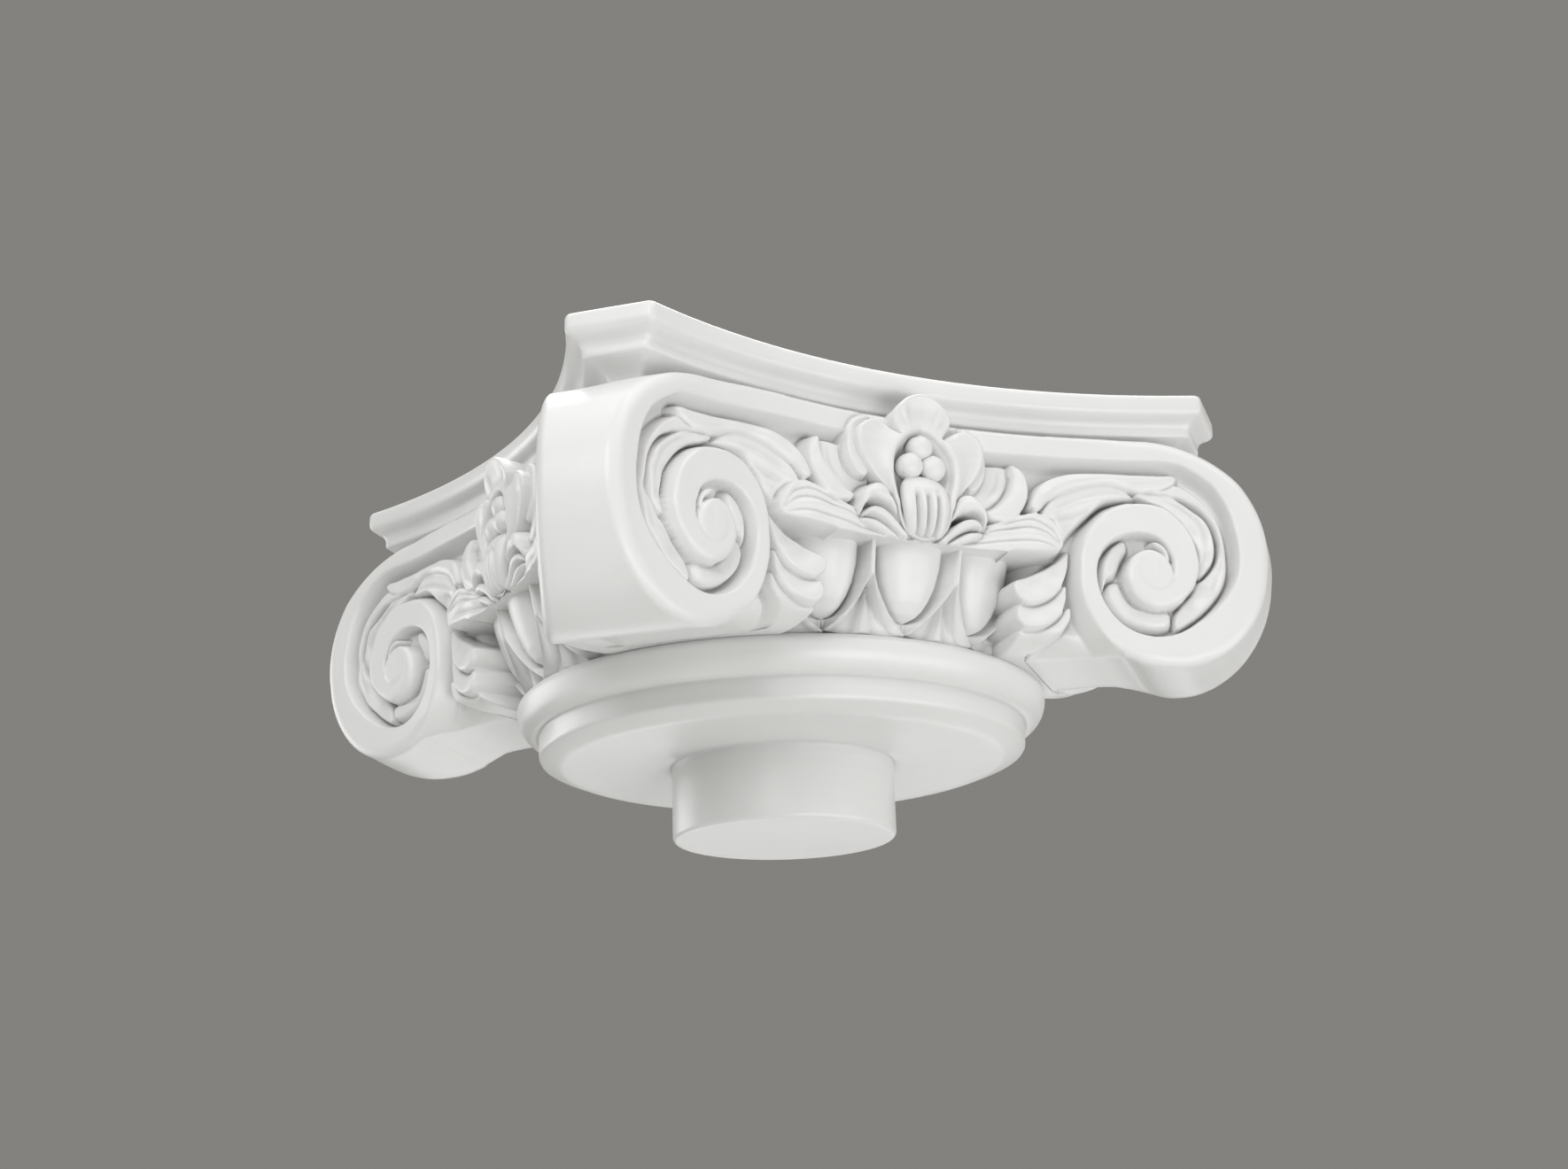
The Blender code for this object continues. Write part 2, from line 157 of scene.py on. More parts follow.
def turned(points, quarter):
    """Points turned about the upright axis by quarter turns."""
    cosine, sine = QUARTERS[quarter]
    x, y = points[:, 0], points[:, 1]
    plan = np.stack([x * cosine - y * sine, x * sine + y * cosine], -1)
    return np.hstack([plan, points[:, 2:]])


def make_mesh(name, points, faces):
    """Smooth-shaded object from points in millimetres, its faces turned outwards."""
    mesh = bpy.data.meshes.new(name)
    mesh.from_pydata((np.asarray(points) * MM).tolist(), [], [list(map(int, face)) for face in faces])
    mesh.validate()
    work = bmesh.new()
    work.from_mesh(mesh)
    bmesh.ops.recalc_face_normals(work, faces=work.faces)
    work.to_mesh(mesh)
    work.free()
    mesh.update()
    mesh.shade_smooth()
    item = bpy.data.objects.new(name, mesh)
    bpy.context.scene.collection.objects.link(item)
    return item


def grid_faces(rows, columns, start=0, wrap=False):
    """Quads of a grid of points stored row by row."""
    faces = []
    last = columns if wrap else columns - 1
    for row in range(rows - 1):
        for column in range(last):
            after = (column + 1) % columns
            a = start + row * columns + column
            b = start + row * columns + after
            faces.append((a, b, b + columns, a + columns))
    return faces


def close_ends(faces, columns, last_row, low, high):
    """Add a fan from the first ring to the point low, and from the last ring to the point high."""
    for column in range(columns):
        after = (column + 1) % columns
        faces.append((after, column, low))
        faces.append((last_row + column, last_row + after, high))


class Relief:
    """A raster of how far the carving stands out from the face."""

    def __init__(self):
        left, right, low, high = CANVAS
        self.s = np.arange(left, right, PITCH)
        self.z = np.arange(low, high, PITCH)
        self.S, self.Z = np.meshgrid(self.s, self.z)
        self.D = np.full(self.S.shape, HIDDEN_FLOOR)
        self.edges = []

    def window(self, points, margin):
        """The part of the raster round some points."""
        low = points.min(0) - margin
        high = points.max(0) + margin
        columns = slice(*np.searchsorted(self.s, (low[0], high[0])))
        rows = slice(*np.searchsorted(self.z, (low[1], high[1])))
        return rows, columns

    def path_distance(self, path, window):
        """Distance to a path and the share of its length at the nearest point."""
        S, Z = self.S[window], self.Z[window]
        nearest = np.full(S.shape, 1e9)
        share = np.zeros(S.shape)
        lengths = np.hypot(*(path[1:] - path[:-1]).T)
        total = lengths.sum()
        run = 0.0
        for start, end, length in zip(path[:-1], path[1:], lengths):
            step = end - start
            t = ((S - start[0]) * step[0] + (Z - start[1]) * step[1]) / max(length ** 2, 1e-9)
            t = np.clip(t, 0.0, 1.0)
            gap = (S - start[0] - t * step[0]) ** 2 + (Z - start[1] - t * step[1]) ** 2
            closer = gap < nearest
            nearest = np.where(closer, gap, nearest)
            share = np.where(closer, (run + t * length) / total, share)
            run += length
        return np.sqrt(nearest), share

    def inside(self, outline, window):
        """Which places lie within a closed outline."""
        S, Z = self.S[window], self.Z[window]
        flag = np.zeros(S.shape, bool)
        for (x0, z0), (x1, z1) in zip(outline, np.roll(outline, -1, 0)):
            if z0 == z1:
                continue
            crosses = (z0 > Z) != (z1 > Z)
            flag ^= crosses & (S < (x1 - x0) * (Z - z0) / (z1 - z0) + x0)
        return flag

    def leaf(self, outline, heights, veins, rim=2.4, drop=3.0, cut=2.2, gap=0.8):
        """Raise a pillowed shape with its own heights and veins, and a fine undercut around it."""
        outline = spline(outline, CURVE_STEPS, True)
        window = self.window(outline, 3.0)
        S, Z = self.S[window], self.Z[window]
        closed = np.vstack([outline, outline[:1]])
        self.edges.append(closed)
        distance, _ = self.path_distance(closed, window)
        spread = 30.0
        weights = [1.0 / ((S - s) ** 2 + (Z - z) ** 2 + spread) ** 1.5 for s, z, _ in heights]
        base = sum(w * h for w, (_, _, h) in zip(weights, heights)) / sum(weights)
        edge = np.clip(distance / rim, 0.0, 1.0)
        body = base - drop * (1 - edge) ** 2
        for path, width, height in veins:
            off, along = self.path_distance(spline(path, CURVE_STEPS), window)
            taper = np.sqrt(np.clip(4 * along * (1 - along), 0.0, 1.0)) * 0.7 + 0.3
            body = body + height * taper * np.exp(-(off / width) ** 2) * np.clip(edge * 1.5, 0, 1)
        inside = self.inside(outline, window)
        around = self.D[window]
        lower = smooth(base - around, 0.0, 2.0)
        around = around - cut * lower * np.exp(-(distance / gap) ** 2)
        cover = np.clip(0.5 + np.where(inside, distance, -distance) / PITCH, 0.0, 1.0)
        self.D[window] = around + cover * np.maximum(body - around, 0.0)

    def soften(self, sigma):
        """Blur the raster evenly."""
        radius = int(math.ceil(3 * sigma / PITCH))
        kernel = np.exp(-0.5 * (np.arange(-radius, radius + 1) * PITCH / sigma) ** 2)
        kernel /= kernel.sum()
        for axis in (0, 1):
            pad = [(radius, radius) if axis == a else (0, 0) for a in (0, 1)]
            padded = np.pad(self.D, pad, mode="edge")
            total = np.zeros_like(self.D)
            size = self.D.shape[axis]
            for index, weight in enumerate(kernel):
                piece = slice(index, index + size)
                total += weight * (padded[piece] if axis == 0 else padded[:, piece])
            self.D = total

    def bends(self):
        """How strongly the surface bends near each place of the raster."""
        D = self.D
        bend = np.zeros_like(D)
        bend[2:-2] += np.abs(D[4:] + D[:-4] - 2 * D[2:-2])
        bend[:, 2:-2] += np.abs(D[:, 4:] + D[:, :-4] - 2 * D[:, 2:-2])
        for axis in (0, 1):
            bend = np.maximum.reduce([np.roll(bend, shift, axis) for shift in (-2, -1, 0, 1, 2)])
        return bend

    def cells(self, s, z):
        """Columns and rows of points in a grid of cells, one cell in from its border."""
        return (np.asarray((s - self.s[0]) / CELL).astype(int) + 1,
                np.asarray((z - self.z[0]) / CELL).astype(int) + 1)

    def edge_points(self):
        """Rows of points along each step that can be seen, and the cells where no others may lie."""
        shape = (int((self.z[-1] - self.z[0]) / CELL) + 4, int((self.s[-1] - self.s[0]) / CELL) + 4)
        taken, step = np.zeros(shape, bool), np.zeros(shape, bool)
        kept = []
        for path in self.edges:
            run = np.concatenate([[0.0], np.cumsum(np.hypot(*(path[1:] - path[:-1]).T))])
            at = np.arange(0.0, run[-1], EDGE_SPACING)
            line = np.stack([np.interp(at, run, path[:, 0]), np.interp(at, run, path[:, 1])], -1)
            tangent = np.gradient(line, axis=0)
            normal = np.stack([-tangent[:, 1], tangent[:, 0]], -1)
            normal = normal / np.linalg.norm(tangent, axis=1)[:, None]
            sides = [line + offset * EDGE_REACH * normal for offset in EDGE_ROWS]
            seen = np.abs(self.sample(sides[0]) - self.sample(sides[-1])) > EDGE_STEP
            for side in sides:
                for (s, z), i, j in zip(side[seen], *self.cells(*side[seen].T)):
                    if not (0 < i < shape[1] - 1 and 0 < j < shape[0] - 1):
                        continue
                    if not taken[j - 1:j + 2, i - 1:i + 2].any():
                        taken[j, i] = True
                        kept.append((s, z))
            for offset in np.linspace(-EDGE_REACH, EDGE_REACH, 13):
                for part in (0.0, 0.25, 0.5, 0.75):
                    i, j = self.cells(*(line + offset * normal + part * tangent)[seen].T)
                    step[np.clip(j, 0, shape[0] - 1), np.clip(i, 0, shape[1] - 1)] = True
        near = taken.copy()
        for axis in (0, 1):
            near = near | np.roll(near, 1, axis) | np.roll(near, -1, axis)
        return np.array(kept), near | step

    def sample(self, points):
        """Heights at points, blended between the raster's places."""
        x = np.clip((points[:, 0] - self.s[0]) / PITCH, 0, len(self.s) - 1.001)
        y = np.clip((points[:, 1] - self.z[0]) / PITCH, 0, len(self.z) - 1.001)
        i, j = x.astype(int), y.astype(int)
        u, v = x - i, y - j
        D = self.D
        return ((D[j, i] * (1 - u) + D[j, i + 1] * u) * (1 - v)
                + (D[j + 1, i] * (1 - u) + D[j + 1, i + 1] * u) * v)


# Volute tables, by degrees of turn from straight above the eye: distances from the eye of the spiral's
# outer edge and of its groove's edge, height of its face, width of its cove and floor of the groove
OUTER_EDGE = ((0, 66.8), (45, 63.2), (90, 54.8), (135, 50), (180, 44.1), (202, 42.5), (225, 40.8),
              (270, 37.5), (300, 38), (327, 37.6), (343, 36.2), (356, 34.9), (371, 33.4), (384, 30.5),
              (403, 27.1), (423, 24), (443, 22.2), (459, 20.7), (483, 18.5), (512, 17.9), (540, 17.7),
              (581, 16.8), (618, 15.8), (641, 14.8), (664, 13.9), (704, 12.3), (728, 10.9), (755, 9.5),
              (804, 8.1), (843, 7.6), (900, 7), (1080, 7))
GROOVE_EDGE = ((0, 51.3), (16, 51.9), (25, 50.6), (37, 48.7), (50, 45), (61.5, 41.5), (78, 38.3), (89, 36.5),
               (102, 34.3), (119, 31.4), (139, 29.6), (157, 29.3), (214, 29.3), (231, 28.9), (265, 28.1),
               (282, 27.6), (294, 26.8), (309, 25.1), (324, 22.7), (344, 19.8), (362, 17.3), (378, 15),
               (396, 12), (426, 9.6), (466, 8.4))
WALL_HEIGHT = ((0, 0), (200, 0.3), (270, 0.9), (360, 1.8), (450, 2.4), (540, 2.8), (700, 3.2), (1080, 3.4))
COVE_WIDTH = ((0, 5), (90, 4.2), (120, 2.6), (150, 1.7), (466, 1.3))
GROOVE_DEPTH = ((0, -10), (80, -8), (300, -8), (360, -6), (420, -1), (466, 2.6))
RIM_RADIUS = ((0, 0.02), (205, 0.02), (240, 2.4), (480, 2.4), (500, 4.2), (660, 4.2), (700, 2.6))
GROOVE_END = 466
FUSED_TURNS = (760, 830)


def volute_heights(S, Z):
    """Rim, inner turn and eye of the volute, for places inside its spiral."""
    x, z = S - EYE_OFFSET, Z - EYE_Z
    r = np.hypot(x, z)
    angle = np.degrees(np.arctan2(x, z)) % 360.0
    first, second, third = (by_turn(OUTER_EDGE, angle + extra) for extra in (0, 360, 720))
    turn = np.where(r <= second, angle + 360, angle)
    turn = np.where(r <= third, angle + 720, turn)
    outer = by_turn(OUTER_EDGE, turn)
    following = np.where(turn < 720, by_turn(OUTER_EDGE, turn + 360), 0)
    height = by_turn(WALL_HEIGHT, turn)
    floor = by_turn(GROOVE_DEPTH, turn)

    cove = by_turn(COVE_WIDTH, turn)
    inner = np.where(turn < GROOVE_END, by_turn(GROOVE_EDGE, turn), following)
    rise = np.clip((r - inner) / cove, 0, 1)
    hollow = smooth(turn, 90, 150)
    shape = (1 - hollow) * rise ** COVE_POWER + hollow * np.sqrt(1 - (1 - rise) ** 2)
    wall = np.where(turn < GROOVE_END, floor + (height - floor) * shape, height)

    edge = by_turn(RIM_RADIUS, turn)
    fused = smooth(turn, *FUSED_TURNS)
    step = np.clip(1 - (outer - r) / edge, 0, 1)
    wall = wall - (1 - fused) * edge * (1 - np.sqrt(1 - step ** 2)) * (edge > 0.1)
    body = np.where((r < inner) & (turn < GROOVE_END), floor, wall)
    return r, turn, first, body


def volute_edges():
    """The spiral's inner edges as paths."""
    paths = []
    for table, start, end in ((OUTER_EDGE, 200, 780), (GROOVE_EDGE, 20, 440)):
        turns = np.arange(start, end, 2)
        r, angle = by_turn(table, turns), np.radians(turns)
        paths.append(np.stack([EYE_OFFSET + r * np.sin(angle), EYE_Z + r * np.cos(angle)], -1))
    return paths


def ground_heights(S, Z):
    """Band, channel, volute and the ground beside it."""
    low = HIDDEN_FLOOR + (GROUND_FLOOR - HIDDEN_FLOOR) * smooth(S, 46, 66)
    ground = np.where(Z > 109.5, CHANNEL_FLOOR, low)
    rise = np.clip((Z - COVE_FOOT_Z) / (BAND_EDGE_Z - COVE_FOOT_Z), 0, 1)
    ground = np.where(Z > COVE_FOOT_Z, CHANNEL_FLOOR - CHANNEL_FLOOR * rise ** COVE_POWER, ground)
    r, turn, outline, body = volute_heights(S, Z)
    beyond = (turn < 205) & (S > EYE_OFFSET - 20)
    inside = (r <= outline) | (beyond & (r < outline + 8))
    fall = by_turn(WALL_HEIGHT, turn) - 2.4 - 12.0 * smooth(r - outline, -0.5, 4.5)
    side = (turn > 200) & (turn < 345) & ~inside & (r - outline < 4.5)
    ground = np.where(side, np.maximum(ground, fall), ground)
    return np.where(inside, body, ground)


def draw_ground(relief):
    """Each place of the raster takes the mean of nine heights, so that steps come out even."""
    relief.edges += volute_edges()
    offsets = np.array((-1, 0, 1)) * PITCH / 3
    relief.D = sum(ground_heights(relief.S + u, relief.Z + v) for u in offsets for v in offsets) / 9


# Leaves in the order in which they are laid on: outline and (along, up, height) places on it, veins as
# (path, half width, height), and how the edge is rounded and undercut
LEAVES = (
    # Leaves in the volute's groove
    (((57, 132), (60, 139), (66, 146), (75, 150), (85, 152), (95, 152.7), (110, 152.7), (124, 152.5),
      (131, 152.6), (133.9, 151), (133, 147.8), (128, 144.6), (120, 142.8), (112, 142.8), (104, 145.2),
      (95, 145.5), (86, 144), (77, 141), (68, 136), (62, 130)),
     ((60, 134, 3.5), (75, 145, 1.5), (95, 149, -0.5), (112, 147.5, -1.5), (131, 149.5, -2)),
     ((((64, 138), (74, 144.5), (88, 148.4), (104, 149.2), (124, 149.8)), 1.1, 0.8),),
     dict(rim=2.6, drop=2.6)),
    (((62, 127), (66, 134), (72, 139.5), (77, 142.8), (86, 145.8), (95, 147.2), (103, 146.6), (109, 143.6),
      (112.4, 140), (104, 138.7), (96, 136.8), (88, 130.5), (80, 122.8), (74.5, 116.5), (72.5, 121),
      (68, 126)),
     ((66, 130, 2), (80, 138, -0.5), (95, 142, -1.6), (108, 140.6, -3.2), (78, 124, -4.5)),
     ((((70, 130), (80, 134.5), (92, 138.5), (106, 140.6)), 1.2, 1.3),
      (((72, 128), (82, 131), (90, 134.5)), 0.8, -0.9)),
     dict(rim=2.2, drop=2)),
    (((111.5, 142), (118, 143.2), (127, 143), (134, 139.5), (140, 135), (146, 129), (149.2, 121),
      (149.3, 113), (147, 107), (141, 101), (140.6, 106), (141, 113), (138.5, 121), (133.5, 129),
      (126, 135.5), (118, 138.6)),
     ((114, 141, -3), (131, 139, -2.2), (146, 127, -1.6), (148, 114, -1.6), (141.5, 103, -4),
      (130, 135, -5.4), (139, 122, -6.2), (142, 110, -6)),
     ((((124, 141), (134, 136), (142, 128), (145.2, 118), (143.5, 108)), 0.8, -0.9),),
     dict(rim=1.1, drop=1.6)),
    (((117, 143.5), (127, 145), (133, 147.5), (140, 143.5), (147, 136.5), (152, 128), (154.2, 118),
      (154.6, 108), (152.6, 98), (147, 89.5), (140, 82.7), (133, 77.8), (128.3, 75.4), (126.4, 78),
      (127.6, 83), (131.5, 88.5), (136, 93), (139.6, 99), (143.5, 101.5), (148.5, 107), (151, 114.5),
      (150, 123), (146, 131), (139, 137.5), (128, 142)),
     ((124, 143.8, -2.4), (135, 144, -2.8), (148, 132.5, -2), (153, 118, -1.6), (152.5, 103, -1.6),
      (145, 90, -1.6), (133, 80, -2), (128.5, 78, -3), (142, 97, -5.6), (134, 87, -5.4), (150, 110, -4.6),
      (128, 84, -4.4)),
     ((((136, 141), (146, 133.5), (151.2, 122), (151.6, 108), (147, 95)), 0.8, -0.9),),
     dict(rim=1.4, drop=2)),
    (((126, 82.5), (125.6, 78), (123.5, 75.9), (117, 75), (108, 77), (100, 81.8), (95.4, 88), (94, 93.5),
      (96.8, 98.6), (101.4, 99.6), (103, 96), (105.3, 91), (110, 87.2), (118, 85.3), (124, 85)),
     ((123, 80, -1.8), (112, 80.5, -1.8), (100, 87, -2.4), (98, 96, -3.6), (108, 86, -4.6)),
     ((((119, 83.6), (109, 84.2), (103, 89.5), (99.8, 96)), 0.9, -0.8),),
     dict(rim=3.4, drop=4.2)),
    (((105, 119.6), (106.8, 115), (103.4, 109), (101, 103.8), (99.3, 101.2), (96, 99.6), (93.8, 94.8),
      (92.2, 100), (93.2, 108), (97, 114.3), (101, 117.9)),
     ((104, 115, -2), (99, 105, -2.2), (95, 99, -3.8)),
     (),
     dict(rim=2.6, drop=3.6)),
    (((117, 117.6), (121, 117.2), (124.6, 114), (126.2, 108.5), (124.6, 108.5), (122.4, 112), (118.4, 115)),
     ((121, 115, 2.4),),
     (),
     dict(rim=1.4, drop=1.6)),
    # Half-palmette, from its lowest feather
    (((52, 75.2), (58, 76.4), (65.5, 79.4), (71.5, 83), (77.2, 87), (77.4, 80.5), (72, 73.4), (64.8, 68.4),
      (58, 66), (53, 66.6), (50.8, 70.4)),
     ((52.6, 70.4, -2.4), (57, 68.5, -1.8), (63, 70, -1.8), (70.5, 75.5, -2.6), (75.8, 82.5, -4.4),
      (60, 74.6, -7), (68, 79.5, -7.6)),
     (),
     dict(rim=1.7, drop=1.8, cut=2.6, gap=0.9)),
    (((50.5, 86.4), (56, 87.8), (63, 90.2), (69, 93.4), (75.6, 97.5), (76, 92), (74.8, 87), (72, 82),
      (66.5, 77.4), (60, 74.8), (54, 74.4), (50, 77), (48.6, 81.5)),
     ((50.5, 80.5, -1.2), (55.5, 77, -0.4), (62, 77, -0.4), (69.5, 82.5, -1.4), (74.4, 90.5, -3.2),
      (60, 86, -6.2), (68, 90, -7), (62, 81.5, -3)),
     (),
     dict(rim=1.7, drop=1.8, cut=2.6, gap=0.9)),
    (((48.5, 97), (54, 99.5), (61, 102.5), (67, 105.5), (73, 109.5), (78, 114), (77.8, 107), (75.6, 100),
      (72, 94.2), (66.5, 89.4), (60, 86.6), (54, 86.2), (49.6, 88.6), (47.4, 93)),
     ((50, 92, -0.2), (55, 89, 0.6), (62, 89, 0.6), (70, 94.5, -0.6), (76, 104, -2.6), (60, 99, -5.4),
      (68, 103.5, -6.4), (74, 108.5, -5.2), (63, 94, -2.4)),
     (),
     dict(rim=1.7, drop=1.8, cut=2.6, gap=0.9)),
    # Leaves behind the flower
    (((24, 150), (36, 152.6), (48.5, 152.6), (50, 146), (48.6, 141), (45.5, 136), (41, 131.5), (34, 127),
      (24, 128)),
     ((46, 149, -3), (38, 142, -4.2), (40, 133, -1), (28, 135, -2)),
     ((((44.5, 150), (43, 142), (37, 134)), 1.1, -0.8),),
     dict(rim=1.6, drop=1.5)),
    (((36, 123.5), (44, 122.6), (50, 125), (54.5, 130), (57.8, 137), (58.2, 145), (55.4, 151.2),
      (50.8, 154), (49.4, 150), (49.8, 145.6), (48, 140), (44.6, 135), (39.5, 130.5), (34, 127.5)),
     ((38, 126, 4), (47, 128, 4.4), (54, 136, 3.6), (54.5, 146, 2), (51, 151.5, 0)),
     ((((42, 125), (50, 129.5), (55, 138), (54.4, 148)), 0.8, -0.5),),
     dict(rim=2.6, drop=3.4)),
    # Back petal and the long leaf of the ledge
    (((24, 167), (30, 166), (34, 163), (36.4, 157.5), (37, 150.5), (35.4, 143), (31, 137.5), (26, 138),
      (24, 150)),
     ((31, 160, 1.6), (34, 150, 1.8), (31, 141, 2.6)),
     (),
     dict(rim=1.6, drop=1.6, cut=1.6, gap=0.8)),
    (((-6, 104), (-6, 117), (6, 117.5), (14, 117.5), (25, 119.2), (36, 122), (44, 124), (51, 127.4),
      (58, 129.8), (64, 129.6), (69, 127), (73, 121.5), (75, 115.8), (71.6, 111.8), (64, 110.2),
      (54, 109.4), (47, 108.8), (42.6, 106), (38, 104), (12, 104)),
     ((0, 112, 4.6), (20, 112.5, 5.4), (40, 114, 5.8), (56, 118, 5), (68, 119, 2.6), (74, 115, -1),
      (60, 127, 3), (48, 123.5, 3.2), (66, 126, 0.6), (28, 117.6, 2.8), (60, 111.5, 5)),
     ((((14, 113), (30, 116), (44, 119.6), (56, 122), (65, 120.8), (72.2, 115.5)), 0.75, -2),
      (((20, 110.5), (36, 112.6), (52, 115.2), (63, 115.2), (71, 113.4)), 0.75, -1.7),
      (((30, 118.4), (42, 121.6), (52, 125), (60, 126), (67, 123), (73, 116.6)), 0.8, -1.6),
      (((24, 114.8), (40, 117.4), (54, 118.9), (66, 118)), 1, 0.9)),
     dict(rim=1.6, drop=2)),
    # Small turned-over leaves beside the bell
    (((12, 108.6), (17, 112.2), (22.5, 115.2), (27.5, 116.4), (32.4, 116.4), (29.5, 113.4), (23, 110.6),
      (16, 108.2)),
     ((18, 112, 6.5), (26, 114.5, 7.2), (31, 116, 5.6)),
     (),
     dict(rim=1.6, drop=2.2, cut=1.8, gap=0.7)),
    (((8, 110), (13, 115.4), (18, 119.6), (23, 122), (27.6, 122.2), (30.8, 119.6), (31.4, 117.2),
      (27.4, 117.6), (22.4, 116), (16.4, 112.4), (11, 108.6)),
     ((14, 114.5, 7.4), (22, 119.4, 8.6), (28.6, 119.8, 7.6)),
     (),
     dict(rim=1.8, drop=2.4, cut=2.4, gap=0.8)),
    (((6, 110), (10.5, 115.5), (13.6, 121), (16, 127), (19.6, 132.2), (24.6, 133.6), (29.4, 131.2),
      (33, 126.8), (34.2, 121.6), (32.4, 117.4), (31.4, 120.4), (29.4, 123), (26.4, 124.4), (22.4, 123.8),
      (17.8, 121.2), (13, 117), (8.6, 112)),
     ((11, 115, 8), (16, 123, 8.4), (21, 129, 8.8), (27, 128.5, 9.6), (32, 123.5, 8.8), (32.2, 119, 6.6)),
     ((((11, 115.6), (17, 123.6), (23, 128.4), (29.4, 127), (31.8, 122)), 1, 1),
      (((12, 118), (17.4, 127), (22, 131), (27, 130.6)), 0.7, -0.7)),
     dict(rim=2.6, drop=3, cut=2.6, gap=0.9)),
)


def draw_relief():
    relief = Relief()
    draw_ground(relief)
    for outline, heights, veins, options in LEAVES:
        relief.leaf(outline, heights, veins, **options)
    relief.soften(SOFTNESS)
    return relief


def corner_outline():
    """Outline of half a face, the first and last of its points that the side joins, and its nose's end."""
    top = [(s, BAND_TOP_Z) for s in np.arange(0.0, EYE_OFFSET, GRID)]
    turns = np.arange(0.0, NOSE_END, 0.9)
    r, angle = by_turn(OUTER_EDGE, turns), np.radians(turns)
    nose = np.stack([EYE_OFFSET + r * np.sin(angle), EYE_Z + r * np.cos(angle)], -1)
    nose = spline(nose[::6], CURVE_STEPS)
    under = spline([tuple(nose[-1]), *UNDER_CURVE], 20)[1:]
    side = [(INNER_S, z) for z in np.arange(69.0, LEDGE_BOTTOM_Z, GRID)]
    ledge = [(s, LEDGE_BOTTOM_Z) for s in np.arange(INNER_S, 0.5, -GRID)]
    cut = [(0.0, z) for z in np.arange(LEDGE_BOTTOM_Z, BAND_TOP_Z - 0.4, GRID)]
    outline = np.vstack([top, nose, under, side, ledge, cut])
    nose_to = len(top) + len(nose)
    return outline, int(SIDE_FROM_S / GRID), nose_to + len(under) - 1, nose_to


def rounded(gap, width, depth):
    """Depth of a rounded edge at a distance in from it. It stops short of upright."""
    share = np.clip(1 - gap / width, 0.0, 1.0) * ROUND_SHARE
    return depth * (1 - np.sqrt(1 - share ** 2)) / (1 - math.sqrt(1 - ROUND_SHARE ** 2))


def border_rounding(flat, under):
    """How far the rounded outer edges of half a face fall away."""
    x, z = flat[:, 0] - EYE_OFFSET, flat[:, 1] - EYE_Z
    turn = np.degrees(np.arctan2(x, z)) % 360.0
    gap = np.where((turn < 215) & (x > -20), by_turn(OUTER_EDGE, turn) - np.hypot(x, z), 99.0)
    outer = np.where((x > 0) | (turn > 90), rounded(gap, *NOSE_ROUNDING), 0.0)
    outer = outer * (1 - smooth(turn, NOSE_END - 14, NOSE_END))

    band = BAND_TOP_Z - flat[:, 1]
    mix = smooth(flat[:, 0], 90.0, EYE_OFFSET)
    top = (1 - mix) * rounded(band, *BAND_ROUNDING) + mix * rounded(band, *NOSE_ROUNDING)
    top = np.where((x <= 0) & (z > 30), top, 0.0)

    low = np.full(len(flat), 1e9)
    for start, end in zip(under[:-1], under[1:]):
        step = end - start
        t = np.clip(((flat - start) @ step) / max(step @ step, 1e-9), 0.0, 1.0)
        low = np.minimum(low, np.linalg.norm(flat - start - t[:, None] * step, axis=1))
    deep, wide = by_turn(UNDER_DEPTH, flat[:, 0]), by_turn(UNDER_WIDTH, flat[:, 0])
    return np.maximum(np.maximum(outer, top), rounded(low / wide, 1.0, 1.0) * deep)


def scatter(relief, outline):
    """Points of half a face, closer together where the relief bends."""
    bends = relief.bends()
    along_edges, near_edge = relief.edge_points()
    points = [along_edges]
    for pitch, keep in ((GRID, bends < DETAIL), (GRID * FINE_SHARE, bends >= DETAIL)):
        S, Z = np.meshgrid(np.arange(0.0, 176.0, pitch), np.arange(56.0, 172.0, pitch * ROW_SHARE))
        S[1::2] += pitch / 2
        column = np.clip(np.rint((S - relief.s[0]) / PITCH).astype(int), 0, len(relief.s) - 1)
        row = np.clip(np.rint((Z - relief.z[0]) / PITCH).astype(int), 0, len(relief.z) - 1)
        i, j = relief.cells(S, Z)
        chosen = keep[row, column] & ~near_edge[j, i]
        points.append(np.stack([S[chosen], Z[chosen]], -1))
    points = np.vstack(points)
    canvas = Relief()
    everywhere = (slice(None), slice(None))
    thinned = np.vstack([outline, outline[:1]])
    thinned = thinned[::2] if len(thinned) % 2 else np.vstack([thinned[::2], thinned[-1:]])
    gap, _ = canvas.path_distance(thinned, everywhere)
    canvas.D = np.where(canvas.inside(outline, everywhere), gap, -gap)
    return points[canvas.sample(points) > GRID * 0.45]


